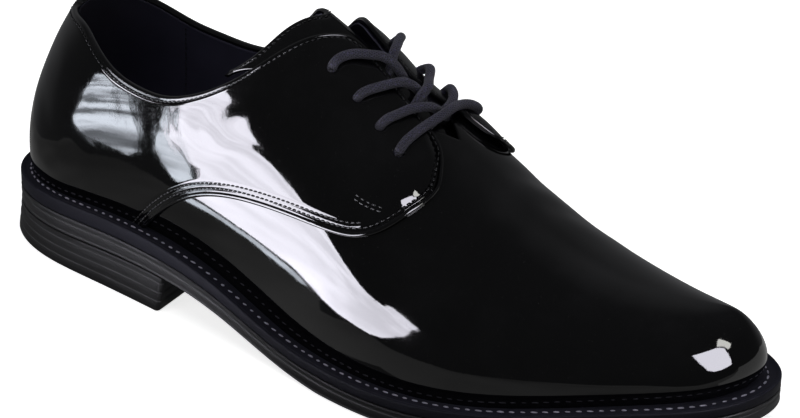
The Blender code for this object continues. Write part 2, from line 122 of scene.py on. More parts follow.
# turn, rise of the collar and of the facing's edge down to its nose: outer, inner side
OPENING = (
    (0.0, 0.665, 0.665), (12.0, 0.655, 0.620), (22.0, 0.615, 0.555), (32.0, 0.551, 0.478),
    (40.0, 0.470, 0.407), (47.5, 0.396, 0.350), (54.0, 0.363, 0.328), (60.0, 0.360, 0.324),
    (66.0, 0.397, 0.350), (71.0, 0.463, 0.412), (75.0, 0.555, 0.490), (78.0, 0.675, 0.570),
    (80.0, 0.790, 0.680), (82.0, 0.890, 0.808), (84.0, 0.928, 0.893), (86.0, 0.930, 0.919),
    (88.0, 0.926, 0.924), (93.0, 0.905, 0.905), (98.0, 0.889, 0.875), (101.0, 0.858, 0.845),
    (103.0, 0.785, 0.795), (104.0, 0.710, 0.725),
)
# turn, rise of the quarter's lower seam from the welt to the nose
SEAM = (
    (50.0, -0.150), (57.5, -0.010), (61.5, 0.061), (66.0, 0.128), (72.5, 0.200),
    (79.0, 0.256), (86.0, 0.308), (93.0, 0.358), (97.0, 0.402), (100.5, 0.482),
    (102.8, 0.585), (104.0, 0.700),
)
# turn and rise of the vamp's free edge between the noses, up to the ridge
THROAT = ((97.6, 0.470), (98.2, 0.860), (98.8, 0.920), (99.4, 0.943), (100.4, 0.966),
          (101.2, 0.990), (101.6, 1.0))
THROAT_TURN = 101.6
# turn and place across of the lace holes: outer side, then inner side
EYELETS = (
    (84.5, -0.275), (89.4, -0.282), (93.7, -0.292), (97.4, -0.305),
    (85.8, 0.295), (90.4, 0.295), (94.3, 0.295), (98.5, 0.295),
)
# sinking of the inner facing where the laces pull it in
SAG_DEPTH = 2.3
VAMP_THICK = 1.1
QUARTER_THICK = 1.2
LINING_LIFT = -1.12
LINING_THICK = 0.55
# turns of the heel grip's edge in the lining and of the row that sews it
GRIP_TURN = 47.0
GRIP_ROW = 45.6
# distance of the second sewn row from the seam's edge, and points taken along the free edge
SECOND_ROW = 4.7
EDGE_POINTS = 420
ROLL_POINTS = 560

# tongue
TONGUE_LIFT = -2.85
TONGUE_THICK = 2.2
TONGUE_ROOT = 105.0
TONGUE_HALF = 0.56
TONGUE_ROOT_HALF = 0.26
TONGUE_SINK = 2.2
TONGUE_ROW = 0.024
# place across the ridge, turn of the tongue's top edge
TONGUE_TOP = (
    (0.0, 76.9), (0.06, 76.7), (0.12, 76.25), (0.20, 75.75), (0.30, 75.05), (0.40, 73.95),
    (0.48, 72.1), (0.54, 69.6), (0.58, 67.2),
)

# sole parts
WELT_RING = 16.0
CHANNEL_DEPTH = 0.8
SEAM_GAP = 0.3
INSOLE_GAP = 2.2
HEEL_BREAST = 83.3
BREAST_SLANT = 1.7
HEEL_CORNER = 1.4
HEEL_LEDGES = (0.30, 0.56, 0.83)
OUTSOLE_LEDGES = (0.17, 0.66)
# loops below the first moulded line of a side, and loops in each line
FOOT_LOOPS = 6
RIB_LOOPS = 7

# lace: each run as turn, place across the ridge (negative is the outer side), lift
LACE_RUNS = (
    # the bar
    ((98.6, 0.295, -2.0), (98.5, 0.297, 1.3), (98.7, 0.285, 3.4), (98.6, 0.24, 4.6),
     (98.2, 0.17, 4.9), (97.9, 0.09, 5.0), (97.8, 0.005, 5.0), (97.8, -0.080, 4.6),
     (97.6, -0.153, 3.8), (97.4, -0.222, 3.3), (97.3, -0.27, 3.1), (97.35, -0.293, 2.3),
     (97.4, -0.303, 0.9), (97.4, -0.305, -2.0)),
    # third outer hole
    ((93.7, -0.292, -2.0), (93.7, -0.291, 0.9), (93.75, -0.281, 2.3), (93.9, -0.26, 3.1),
     (94.4, -0.213, 3.3), (94.9, -0.153, 3.6), (95.6, -0.095, 3.8), (96.2, -0.050, 3.4),
     (96.9, -0.008, 1.6), (97.5, 0.06, -0.6), (97.9, 0.12, -2.4)),
    # third inner hole
    ((94.3, 0.295, -2.0), (94.3, 0.297, 1.3), (94.5, 0.286, 3.3), (95.0, 0.25, 4.4),
     (95.8, 0.205, 4.6), (96.6, 0.150, 4.4), (97.2, 0.090, 3.8), (97.4, 0.023, 2.3),
     (97.5, -0.020, 0.2), (97.6, -0.06, -1.6), (97.7, -0.11, -3.4)),
    # second outer hole
    ((89.4, -0.282, -2.0), (89.4, -0.281, 0.9), (89.5, -0.270, 2.3), (89.8, -0.245, 3.1),
     (90.5, -0.190, 3.3), (91.1, -0.135, 3.6), (91.7, -0.088, 3.8), (92.6, -0.050, 3.4),
     (93.4, -0.018, 1.6), (94.0, 0.04, -0.6), (94.4, 0.10, -2.4)),
    # second inner hole
    ((90.4, 0.295, -2.0), (90.4, 0.297, 1.3), (90.9, 0.286, 3.4), (91.6, 0.245, 4.6),
     (92.4, 0.180, 4.8), (93.2, 0.105, 4.7), (94.0, -0.010, 4.6), (94.4, -0.062, 3.9),
     (94.7, -0.085, 2.2), (94.9, -0.100, 0.0), (95.0, -0.13, -1.8), (95.0, -0.17, -3.4)),
    # top outer hole
    ((84.5, -0.275, -2.0), (84.5, -0.274, 0.9), (84.45, -0.262, 2.3), (84.5, -0.240, 3.1),
     (84.8, -0.205, 3.3), (85.6, -0.155, 3.4), (86.6, -0.112, 3.6), (87.6, -0.068, 3.7),
     (88.7, -0.042, 3.2), (89.8, -0.025, 1.9), (90.8, -0.005, -0.3), (91.4, 0.05, -2.2)),
    # top inner hole
    ((85.8, 0.295, -2.0), (85.8, 0.297, 1.3), (86.1, 0.284, 3.4), (86.6, 0.225, 4.5),
     (87.1, 0.135, 4.8), (87.6, 0.04, 4.6), (88.3, -0.02, 3.4), (88.9, -0.033, 1.4),
     (89.3, -0.045, -0.8), (89.5, -0.08, -2.6)),
)

# soft creases: depth, half width, then turn and place across the ridge along each
CREASES = (
    (0.34, 4.2, ((110.0, -0.52), (109.0, -0.30), (108.6, -0.08), (109.0, 0.16), (110.5, 0.42))),
    (0.30, 4.6, ((117.5, -0.60), (115.8, -0.36), (115.0, -0.10), (115.4, 0.18), (117.4, 0.46))),
    (0.20, 5.0, ((124.0, -0.50), (122.4, -0.26), (121.8, 0.00), (122.6, 0.26))),
    (-0.22, 4.0, ((113.5, -0.56), (112.4, -0.32), (111.9, -0.08), (112.3, 0.18), (114.0, 0.44))),
    (0.35, 5.5, ((20.0, -0.62), (24.0, -0.70), (30.0, -0.80), (36.0, -0.88))),
    (0.22, 4.5, ((70.0, -0.66), (76.0, -0.58), (83.0, -0.53), (90.0, -0.50))),
)


# ---------------------------------------------------------------- smooth tables
def spline(knots, values, period=None):
    """Cubic spline through a table: natural at its ends, or closed over a period."""
    k = np.asarray(knots, float)
    v = np.asarray(values, float)
    if period is not None:
        k = np.append(k, k[0] + period)
        v = np.append(v, v[0])
    h = np.diff(k)
    slope = np.diff(v) / h
    n = len(k)
    a = np.zeros((n, n))
    b = np.zeros(n)
    for i in range(1, n - 1):
        a[i, i - 1:i + 2] = h[i - 1], 2 * (h[i - 1] + h[i]), h[i]
        b[i] = 6 * (slope[i] - slope[i - 1])
    if period is None:
        a[0, 0] = a[-1, -1] = 1
    else:
        a[0, 0], a[0, -1] = 1, -1
        a[-1, 0], a[-1, 1], a[-1, -2], a[-1, -1] = 2 * h[0], h[0], h[-1], 2 * h[-1]
        b[-1] = 6 * (slope[0] - slope[-1])
    m = np.linalg.solve(a, b)

    def value(x):
        x = np.asarray(x, float)
        if period is not None:
            x = k[0] + np.mod(x - k[0], period)
        i = np.clip(np.searchsorted(k, x, side="right") - 1, 0, n - 2)
        p = (k[i + 1] - x) / h[i]
        q = (x - k[i]) / h[i]
        bend = (p ** 3 - p) * m[i] + (q ** 3 - q) * m[i + 1]
        return p * v[i] + q * v[i + 1] + bend * h[i] ** 2 / 6

    return value


def column(table, index):
    """One column of a table."""
    return [row[index] for row in table]


def by_first(table, index):
    """Spline of a table's column over its first column."""
    return spline(column(table, 0), column(table, index))


def around(table, outer, inner, heel, toe):
    """Closed spline over the turn, from values given by station on each side."""
    turn = np.arccos(1 - 2 * np.array(column(table, 0)) / LENGTH)
    knots = np.concatenate(([0.0], turn, [pi], (2 * pi - turn)[::-1]))
    return spline(knots, [heel, *outer, toe, *reversed(inner)], 2 * pi)


OUTLINE_Y = around(OUTLINE, [-w for w in column(OUTLINE, 1)], column(OUTLINE, 2),
                   HEEL_BACK_Y, TOE_TIP_Y)
FULLNESS = around(SECTION, column(SECTION, 1), column(SECTION, 2), HEEL_FULLNESS, TOE_FULLNESS)
SWELL = around(SECTION, column(SECTION, 3), column(SECTION, 4), HEEL_SWELL, TOE_SWELL)
WELT_TOP, UNDERSIDE, WELT_THICK = (by_first(LEVELS, index) for index in (1, 2, 3))
RIDGE_Y, RIDGE_Z = (by_first(RIDGE, index) for index in (1, 2))
FEATHER_INSET = by_first(FEATHER, 1)


def by_nose(table, index):
    """Spline of a rise table over a parameter that stays smooth round the facing's nose."""
    way = spline([np.arcsin(min(1.0, row[0] / NOSE_TURN)) for row in table], column(table, index))
    return lambda degrees: way(np.arcsin(np.clip(np.asarray(degrees) / NOSE_TURN, 0, 1)))


OUTER_OPENING = by_nose(OPENING, 1)
INNER_OPENING = by_nose(OPENING, 2)
SEAM_RISE = by_nose(SEAM, 1)
TONGUE_EDGE = by_first(TONGUE_TOP, 1)


def smooth(x):
    """Soft step from 0 to 1."""
    x = np.clip(x, 0, 1)
    return x * x * (3 - 2 * x)


def hump(x):
    """Soft bump: 1 at nought, falling away on both sides."""
    return np.exp(-x ** 2)


def unit(vectors):
    """Vectors made one long; those of no length stay as they are."""
    size = np.linalg.norm(vectors, axis=-1, keepdims=True)
    return vectors / np.where(size < 1e-9, 1, size)


def travel(line):
    """Distance covered up to each point of a line."""
    return np.append(0.0, np.cumsum(np.linalg.norm(np.diff(line, axis=0), axis=1)))


def read_off(places, way, values):
    """Vectors kept along a way, read at other places on it."""
    return np.stack([np.interp(places, way, values[:, axis]) for axis in range(3)], axis=-1)


def station_of(turn):
    """Distance along the shoe at a turn in radians."""
    return LENGTH * (1 - np.cos(turn)) / 2


def signed(degrees):
    """Turns past the toe tip told as negative ones on the inner side."""
    return np.where(degrees > 180.0, degrees - 360.0, degrees)


# ---------------------------------------------------------------- surface of the last
def edge(turn, inset):
    """Plan point on the sole's outline, moved in by inset; turn in radians."""
    d = 1e-4
    dx = LENGTH * (np.cos(turn - d) - np.cos(turn + d)) / 2
    dy = OUTLINE_Y(turn + d) - OUTLINE_Y(turn - d)
    size = np.hypot(dx, dy)
    return station_of(turn) - dy / size * inset, OUTLINE_Y(turn) + dx / size * inset


def last_point(turn, rise):
    """Points on the last: a superellipse quarter from the feather line to the ridge."""
    turn, rise = np.broadcast_arrays(np.asarray(turn, float), np.asarray(rise, float))
    fx, fy = edge(turn, FEATHER_INSET(station_of(turn)))
    fz = WELT_TOP(fx) - SEAT_GAP
    rx = RIDGE_START + (RIDGE_END - RIDGE_START) * (1 - np.cos(turn)) / 2
    c, s, n = np.cos(rise * pi / 2), np.sin(rise * pi / 2), FULLNESS(turn)
    r = (np.abs(c) ** n + np.abs(s) ** n) ** (-1 / n)
    out, up = r * c, r * s
    ex, ey = edge(turn, 0.0)
    ox, oy = edge(turn, -1.0)
    swell = 6.75 * up * (1 - up) ** 2 * SWELL(turn)
    return np.stack([rx + (fx - rx) * out + (ox - ex) * swell,
                     RIDGE_Y(rx) + (fy - RIDGE_Y(rx)) * out + (oy - ey) * swell,
                     fz + (RIDGE_Z(rx) - fz) * up], axis=-1)


def last_steps(turn, rise, d=1e-3):
    """Steps over the last's surface along the turn and along the rise, each 2 * d wide."""
    return (last_point(turn + d, rise) - last_point(turn - d, rise),
            last_point(turn, rise + d) - last_point(turn, rise - d))


def last_normal(turn, rise):
    """Outward directions of the last's surface, eased to straight up where the ridge ends."""
    turn, rise = np.broadcast_arrays(np.asarray(turn, float), np.asarray(rise, float))
    normal = np.cross(*last_steps(turn, rise))
    size = np.linalg.norm(normal, axis=-1, keepdims=True)
    straight = np.array([0.0, 0.0, 1.0])
    normal = np.where(size < 1e-8, straight, normal / np.maximum(size, 1e-8))
    from_toe = np.degrees(np.arccos(np.clip(-np.cos(turn), -1.0, 1.0)))
    ends = (smooth((rise - 0.84) / 0.12) * smooth((28.0 - from_toe) / 16.0))[..., None]
    return unit(normal * (1 - ends) + straight * ends)


def sag(degrees, rise):
    """How far the inner side sinks under the laces."""
    turn = signed(degrees)
    along = smooth((np.abs(turn) - 84.0) / 9.0) * smooth((100.0 - np.abs(turn)) / 6.0)
    beside = smooth((1 - rise) / 0.08) * smooth((rise - 0.30) / 0.35)
    return np.where(turn < 0, SAG_DEPTH * along * beside, 0.0)


def lifted(degrees, rise, lift):
    """Points at a distance out from the last; degrees are negative on the inner side."""
    turn, rise = np.broadcast_arrays(np.radians(degrees), np.asarray(rise, float))
    lift = np.broadcast_to(np.asarray(lift, float), turn.shape) - sag(np.degrees(turn), rise)
    return last_point(turn, rise) + last_normal(turn, rise) * lift[..., None]


def across(degrees, place, lift):
    """The same, by place across the ridge: negative is the outer side, positive the inner."""
    degrees, place = np.broadcast_arrays(np.asarray(degrees, float), np.asarray(place, float))
    return lifted(np.where(place <= 0, degrees, -degrees), 1 - np.abs(place), lift)


def smooth_line(points, spacing):
    """Even points along a smooth curve through some points."""
    points = np.asarray(points, float)
    reach = travel(points)
    fine = np.linspace(0, reach[-1], 40 * len(points))
    line = np.stack([spline(reach, points[:, axis])(fine) for axis in range(3)], axis=-1)
    way = travel(line)
    even = np.linspace(0, way[-1], max(2, int(round(way[-1] / spacing)) + 1))
    return read_off(even, way, line)


def distance_to(points, line):
    """Shortest distance from each point to a closely spaced line of points."""
    tree = KDTree(len(line))
    for i, place in enumerate(line):
        tree.insert(place, i)
    tree.balance()
    return np.array([tree.find(place)[2] for place in points])


def crease_lift(points):
    """Depth of the soft creases at each point of the leather."""
    lift = np.zeros(len(points))
    for depth, half, route in CREASES:
        route = np.array(route)
        line = smooth_line(across(route[:, 0], route[:, 1], 0.0), 0.5)
        away = distance_to(points, line)
        place = np.linalg.norm(points[:, None, :] - line[None, (0, -1), :], axis=2).min(1)
        fade = smooth(place / (3 * half))
        lift -= depth * fade * (hump(away / half) - 0.35 * hump((away - 2.2 * half) / half))
    return lift


def frame_shift():
    """Moves the whole shoe's box to be centred over the origin."""
    x, y = edge(np.linspace(0, 2 * pi, 1441), 0.0)
    return np.array([(x.max() + x.min() - HEEL_FLARE) / 2, (y.max() + y.min()) / 2, 0.0])


SHIFT = frame_shift()


# ---------------------------------------------------------------- finishes
class Tone:
    """A socket's value that takes part in plain arithmetic; each step adds a Math node."""

    def __init__(self, nodes, socket):
        self.nodes = nodes
        self.socket = socket

    def _math(self, operation, *values):
        return self.nodes.node("ShaderNodeMath", {"operation": operation}, dict(enumerate(values)))

    def __add__(self, other):
        return self._math("ADD", self, other)

    def __radd__(self, other):
        return self._math("ADD", other, self)

    def __sub__(self, other):
        return self._math("SUBTRACT", self, other)

    def __rsub__(self, other):
        return self._math("SUBTRACT", other, self)

    def __mul__(self, other):
        return self._math("MULTIPLY", self, other)

    def __rmul__(self, other):
        return self._math("MULTIPLY", other, self)

    def sine(self):
        return self._math("SINE", self)

    def largest(self, other):
        return self._math("MAXIMUM", self, other)

    def between(self, low, high):
        """0 below low, 1 above high, with a soft step between them."""
        return self.nodes.node("ShaderNodeMapRange", {"interpolation_type": "SMOOTHSTEP"},
                               {"Value": self, "From Min": low, "From Max": high})


class Nodes:
    """A node tree, with one method that adds any node to it."""

    def __init__(self, tree):
        self.tree = tree

    def node(self, kind, settings=None, values=None, out=0):
        """Adds a node with its settings and inputs; gives one of its outputs."""
        made = self.tree.nodes.new(kind)
        for key, value in (settings or {}).items():
            setattr(made, key, value)
        self.feed(made, values or {})
        return Tone(self, made.outputs[out])

    def feed(self, node, values):
        """Links a node's inputs to other nodes' values, or sets them."""
        for key, value in values.items():
            if isinstance(value, Tone):
                self.tree.links.new(value.socket, node.inputs[key])
            else:
                node.inputs[key].default_value = value


class Finish(Nodes):
    """One material on the shoe or in the studio."""

    def __init__(self, name):
        self.material = bpy.data.materials.new(name)
        self.material.use_nodes = True
        super().__init__(self.material.node_tree)
        self.shader = self.tree.nodes["Principled BSDF"]

    def place(self):
        return self.node("ShaderNodeTexCoord", out="Object")

    def parts(self, vector):
        """The three numbers of a vector."""
        made = self.node("ShaderNodeSeparateXYZ", values={0: vector})
        outputs = made.socket.node.outputs
        return [Tone(self, outputs[i]) for i in range(3)]

    def noise(self, vector, scale, detail=2.0, rough=0.5):
        return self.node("ShaderNodeTexNoise", values={
            "Vector": vector, "Scale": scale, "Detail": detail, "Roughness": rough})

    def blend(self, share, first, second):
        """Mix of two colours by a share."""
        return self.node("ShaderNodeMix", {"data_type": "RGBA"},
                         {0: share, 6: first, 7: second}, out=2)

    def bump(self, height, distance, below=None):
        values = {"Height": height, "Distance": distance, "Strength": 1.0}
        if below is not None:
            values["Normal"] = below
        return self.node("ShaderNodeBump", values=values)

    def set(self, **values):
        """Sets or links sockets of the main shader, named with underscores for spaces."""
        self.feed(self.shader, {key.replace("_", " "): value for key, value in values.items()})
        return self.material


def rgb(colour, gain=1.0):
    """Colour with full opacity, made lighter or darker by a gain."""
    return (*(part * gain for part in colour), 1.0)


def patent_leather(colours):
    """Lacquered leather: near black, mirror smooth, with a faint ripple and pore grain."""
    finish = Finish("patent_leather")
    place = finish.place()
    ripple = finish.noise(place, 70.0, 2.0, 0.45)
    grain = finish.noise(place, 900.0, 3.0, 0.6)
    dust = finish.noise(place, 2600.0, 1.0, 0.5)
    specks = dust.between(0.735, 0.775)
    wear = finish.noise(place, 38.0, 4.0, 0.6).between(0.42, 0.72)
    colour = finish.blend(wear, rgb(colours.leather), rgb(colours.leather, 1.9))
    colour = finish.blend(specks * 0.25, colour, rgb(colours.dust))
    normal = finish.bump(ripple, 0.00009)
    normal = finish.bump(grain, 0.0000075, below=normal)
    return finish.set(Base_Color=colour, Roughness=wear * 0.05 + 0.035 + specks * 0.1,
                      Specular_IOR_Level=0.5, IOR=1.5, Coat_Weight=0.6, Coat_Roughness=0.012,
                      Normal=normal)


def rolled_leather(colours):
    """Patent leather folded over an edge: the same black, slightly softer shine."""
    finish = Finish("rolled_leather")
    place = finish.place()
    wave = finish.noise(place, 240.0, 2.0, 0.5)
    wear = finish.noise(place, 60.0, 4.0, 0.6).between(0.45, 0.75)
    colour = finish.blend(wear, rgb(colours.leather, 1.2), rgb(colours.leather, 2.6))
    return finish.set(Base_Color=colour, Roughness=wear * 0.08 + 0.07, Coat_Weight=0.6,
                      Coat_Roughness=0.03, Normal=finish.bump(wave, 0.00012))


def lining_leather(colours):
    """Soft matt lining with a fine nap."""
    finish = Finish("lining_leather")
    place = finish.place()
    nap = finish.noise(place, 1700.0, 4.0, 0.7)
    patches = finish.noise(place, 55.0, 3.0, 0.6)
    colour = finish.blend(patches, rgb(colours.lining, 0.7), rgb(colours.lining, 1.5))
    return finish.set(Base_Color=colour, Roughness=patches * 0.2 + 0.55,
                      Normal=finish.bump(nap, 0.00012))


def sock_leather(colours):
    """Smooth sock leather with pores and soft patches of polish."""
    finish = Finish("sock_leather")
    place = finish.place()
    pores = finish.noise(place, 1100.0, 3.0, 0.55)
    polish = finish.noise(place, 30.0, 2.0, 0.5)
    colour = finish.blend(polish, rgb(colours.lining, 0.9), rgb(colours.lining, 1.8))
    return finish.set(Base_Color=colour, Roughness=0.62 - polish * 0.2,
                      Normal=finish.bump(pores, 0.0001))


def rubber(name, colour, shine, gloss):
    """Moulded rubber: satin, with a fine moulded grain, lighter streaks of wear and painted
    highlight in one, and a painted highlight on the moulded lines' bevels.
    """
    finish = Finish(name)
    place = finish.place()
    grain = finish.noise(place, 1500.0, 3.0, 0.6)
    # Lighter horizontal streaks: wear and painted highlight in one.
    streak = finish.node("ShaderNodeMapping", values={"Vector": place, "Scale": (1.0, 1.0, 9.0)})
    wear_and_painted_highlight = finish.noise(streak, 60.0, 5.0, 0.65).between(0.4, 0.75)
    # Painted highlight: the moulded lines' upward bevels are painted much lighter, standing in for
    # the light they catch.
    rib_highlight = finish.node("ShaderNodeAttribute", {"attribute_name": "rib_highlight"}, out=2)
    tint = finish.blend(wear_and_painted_highlight, rgb(colour, 0.95), rgb(colour, 1.15))
    tint = finish.blend(rib_highlight * (wear_and_painted_highlight * 0.4 + 0.6), tint, rgb(colour, 3.6))
    return finish.set(Base_Color=tint, Roughness=grain * 0.12 + shine - wear_and_painted_highlight * 0.02,
                      Specular_IOR_Level=gloss, Normal=finish.bump(grain, 0.00006))


def thread(name, colour, shine):
    """Twisted waxed thread: fine slanting strands across each stitch, with painted shade
    in the grooves between them.
    """
    finish = Finish(name)
    x, y, z = finish.parts(finish.place())
    strands_and_groove_shade = ((x * 1.0 + y * 0.8 + z * 1.3) * 14000.0).sine()
    # Painted shade: the grooves between the twisted strands are painted darker, the strands
    # lighter.
    tint = finish.blend(strands_and_groove_shade * 0.5 + 0.5, rgb(colour, 0.75), rgb(colour, 1.25))
    return finish.set(Base_Color=tint, Roughness=strands_and_groove_shade * 0.05 + shine,
                      Normal=finish.bump(strands_and_groove_shade, 0.00003))


def lace_cotton(colours):
    """Braided waxed cotton read along the lace: dark strands, painted shade in the grooves
    between them, and pale flecks.
    """
    finish = Finish("lace_cotton")
    guide = finish.node("ShaderNodeUVMap", {"uv_map": "braid"})
    turn, length, _ = finish.parts(guide)
    left = ((turn * 12.0 + length * 0.62) * 2 * pi).sine()
    right = ((turn * 12.0 - length * 0.62) * 2 * pi).sine()
    strands_and_groove_shade = left.largest(right).between(-0.1, 0.95)
    fuzz = finish.noise(finish.place(), 2200.0, 3.0, 0.7)
    flecks = finish.noise(finish.place(), 1500.0, 2.0, 0.7).between(0.57, 0.66)
    # Painted shade: the grooves between strands are painted far darker than their crests.
    colour = finish.blend(strands_and_groove_shade, rgb(colours.lace, 0.15), rgb(colours.lace, 1.6))
    # Pale flecks painted lighter and a little shinier, at random.
    colour = finish.blend(flecks * 0.8, colour, rgb(colours.lace, 7.5))
    normal = finish.bump(strands_and_groove_shade, 0.00055)
    normal = finish.bump(fuzz, 0.00012, below=normal)
    return finish.set(Base_Color=colour, Roughness=0.66 - flecks * 0.16, Sheen_Weight=0.25,
                      Sheen_Roughness=0.5, Normal=normal)


FINISHES = {}


def finish_named(name):
    """The shoe's finishes, each made once."""
    colours = bpy.context.scene.shoe_colours
    makers = {
        "patent": lambda: patent_leather(colours),
        "rolled": lambda: rolled_leather(colours),
        "lining": lambda: lining_leather(colours),
        "sock": lambda: sock_leather(colours),
        "welt": lambda: rubber("welt_rubber", colours.welt, 0.52, 0.12),
        "sole": lambda: rubber("sole_rubber", colours.sole, 0.46, 0.36),
        "thread": lambda: thread("waxed_thread", colours.thread, 0.3),
        "welt_thread": lambda: thread("welt_thread", colours.welt_thread, 0.5),
        "lace": lambda: lace_cotton(colours),
    }
    if name not in FINISHES:
        FINISHES[name] = makers[name]()
    return FINISHES[name]


# ---------------------------------------------------------------- mesh makers
def new_object(name, data):
    """Object in the scene; data is its mesh, light or camera."""
    obj = bpy.data.objects.new(name, data)
    bpy.context.scene.collection.objects.link(obj)
    return obj


def new_mesh(name, points, edges, faces):
    """Mesh from points in metres."""
    mesh = bpy.data.meshes.new(name)
    mesh.from_pydata(points, edges, faces)
    return mesh


def new_piece(name, points, faces, finishes, face_finish=None, crisp=None, braid=None):
    """Mesh object in the shoe's frame from points in millimetres."""
    places = (np.asarray(points, float) - SHIFT) * MM
    mesh = new_mesh(name, places.tolist(), [], [tuple(int(p) for p in face) for face in faces])
    for finish in finishes:
        mesh.materials.append(finish_named(finish))
    if face_finish is not None:
        mesh.polygons.foreach_set("material_index", np.asarray(face_finish, np.int32))
    mesh.shade_smooth()
    if crisp is not None:
        mesh.set_sharp_from_angle(angle=radians(crisp))
    if braid is not None:
        layer = mesh.uv_layers.new(name="braid")
        for loop in mesh.loops:
            layer.data[loop.index].uv = braid[loop.index]
    return new_object(name, mesh)


def settle(piece, slot, *nodes):
    """Puts a finished piece on the shoe's only body."""
    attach(piece, "root")
    if nodes:
        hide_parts(*nodes)


def grid_faces(columns, rows, closed=False):
    """Quads of a grid whose points are stored column by column, facing out."""
    i = np.arange(columns if closed else columns - 1)
    j = np.arange(rows - 1)
    a = (i[:, None] * rows + j[None, :]).ravel()
    b = (((i + 1) % columns)[:, None] * rows + j[None, :]).ravel()
    return np.stack([a, b, b + 1, a + 1], axis=1)


def bands(rings, count):
    """Quads between rings of points stored one after the other."""
    faces = []
    for k in range(rings - 1):
        for i in range(count):
            j = (i + 1) % count
            faces.append([k * count + i, k * count + j, (k + 1) * count + j, (k + 1) * count + i])
    return faces


def welded(points, faces):
    """Joins points at one place; gives the kept points' indices and the faces in them."""
    _, first, same = np.unique(np.round(points, 3), axis=0, return_index=True, return_inverse=True)
    return first, same.reshape(-1)[faces]


def clean(face):
    """A face without the points that fell together."""
    face = [p for k, p in enumerate(face) if p != face[k - 1]]
    return face if len(set(face)) > 2 else None


def punched(outer, inner, faces, holes, radius):
    """Drops the faces over each hole and draws the edge left onto a round rim."""
    for centre in holes:
        away = np.linalg.norm(outer - centre, axis=1)
        hit = (away[faces] < radius).any(axis=1)
        gone, faces = faces[hit], faces[~hit]
        rim = np.intersect1d(gone, faces)
        drawn = centre + (outer[rim] - centre) * (radius / away[rim])[:, None]
        inner[rim] += drawn - outer[rim]
        outer[rim] = drawn
    return faces


def relaxed(points, faces, ease, rounds):
    """Points drawn towards their neighbours' middle, each by its own ease."""
    one = faces.ravel()
    two = np.roll(faces, -1, axis=1).ravel()
    one, two = np.concatenate([one, two]), np.concatenate([two, one])
    size = len(points)
    count = np.maximum(np.bincount(one, minlength=size), 1)[:, None]
    for _ in range(rounds):
        total = np.stack([np.bincount(one, points[two, k], size) for k in range(3)], axis=-1)
        points = points + 0.5 * ease[:, None] * (total / count - points)
    return points


def shell(name, outer, inner, faces, finishes, crisp=None):
    """Closed piece between two like surfaces, rounded over along every free edge."""
    first, faces = welded(outer, faces)
    outer = outer[first]
    inner = inner[first]
    kept = [face for face in (clean([int(p) for p in quad]) for quad in faces) if face]
    sides = {(face[k - 1], face[k]) for face in kept for k in range(len(face))}
    rim = [(a, b) for a, b in sides if (b, a) not in sides]
    thick = unit(outer - inner)
    push = np.zeros_like(outer)
    for a, b in rim:
        away = np.cross(outer[b] - outer[a], thick[a] + thick[b])
        size = np.linalg.norm(away)
        if size > 1e-12:
            push[a] += away / size
            push[b] += away / size
    push = unit(push)
    ends = sorted({a for a, b in rim} | {b for a, b in rim})
    place = {p: k for k, p in enumerate(ends)}
    middle = (outer[ends] + inner[ends]) / 2
    half = (outer[ends] - inner[ends]) / 2
    radius = np.linalg.norm(half, axis=1, keepdims=True)
    count = len(outer)
    rings = [middle + half * cos(angle) + push[ends] * radius * sin(angle)
             for angle in (pi / 6, pi / 3, pi / 2, 2 * pi / 3, 5 * pi / 6)]
    points = np.concatenate([outer, inner, *rings])

    def level(p, k):
        if k == 0:
            return p
        if k == len(rings) + 1:
            return count + p
        return 2 * count + (k - 1) * len(ends) + place[p]

    made = list(kept)
    tags = [0] * len(kept)
    made += [[count + p for p in reversed(face)] for face in kept]
    tags += [len(finishes) - 1] * len(kept)
    for a, b in rim:
        for k in range(len(rings) + 1):
            made.append([level(b, k), level(a, k), level(a, k + 1), level(b, k + 1)])
            tags.append(0)
    used = np.zeros(len(points), bool)
    for face in made:
        used[face] = True
    order = np.cumsum(used) - 1
    made = [[int(order[p]) for p in face] for face in made]
    return new_piece(name, points[used], made, finishes, tags, crisp)


def swept(path, normals, reach_out, reach_up, sides):
    """Tube of an oval section along a path; returns its points and faces."""
    way = unit(np.gradient(path, axis=0))
    out = unit(np.cross(way, normals))
    up = np.cross(out, way)
    count = len(path)
    reach_out = np.broadcast_to(reach_out, count)
    reach_up = np.broadcast_to(reach_up, count)
    angle = np.arange(sides) * 2 * pi / sides
    points = (path[:, None, :]
              + out[:, None, :] * (reach_out[:, None] * np.cos(angle))[..., None]
              + up[:, None, :] * (reach_up[:, None] * np.sin(angle))[..., None]).reshape(-1, 3)
    faces = bands(count, sides)
    faces.append(list(range(sides))[::-1])
    faces.append([(count - 1) * sides + j for j in range(sides)])
    return points, faces


def joined(parts):
    """Points and faces of several meshes as one."""
    points = []
    faces = []
    count = 0
    for some, more in parts:
        points.append(some)
        faces += [[count + p for p in face] for face in more]
        count += len(some)
    return np.concatenate(points), faces


def facing_out(points, faces):
    """The faces turned so that the closed body they make has a positive volume."""
    volume = 0.0
    for face in faces:
        a = points[face[0]]
        for k in range(1, len(face) - 1):
            volume += float(np.dot(a, np.cross(points[face[k]], points[face[k + 1]])))
    return faces if volume > 0 else [face[::-1] for face in faces]


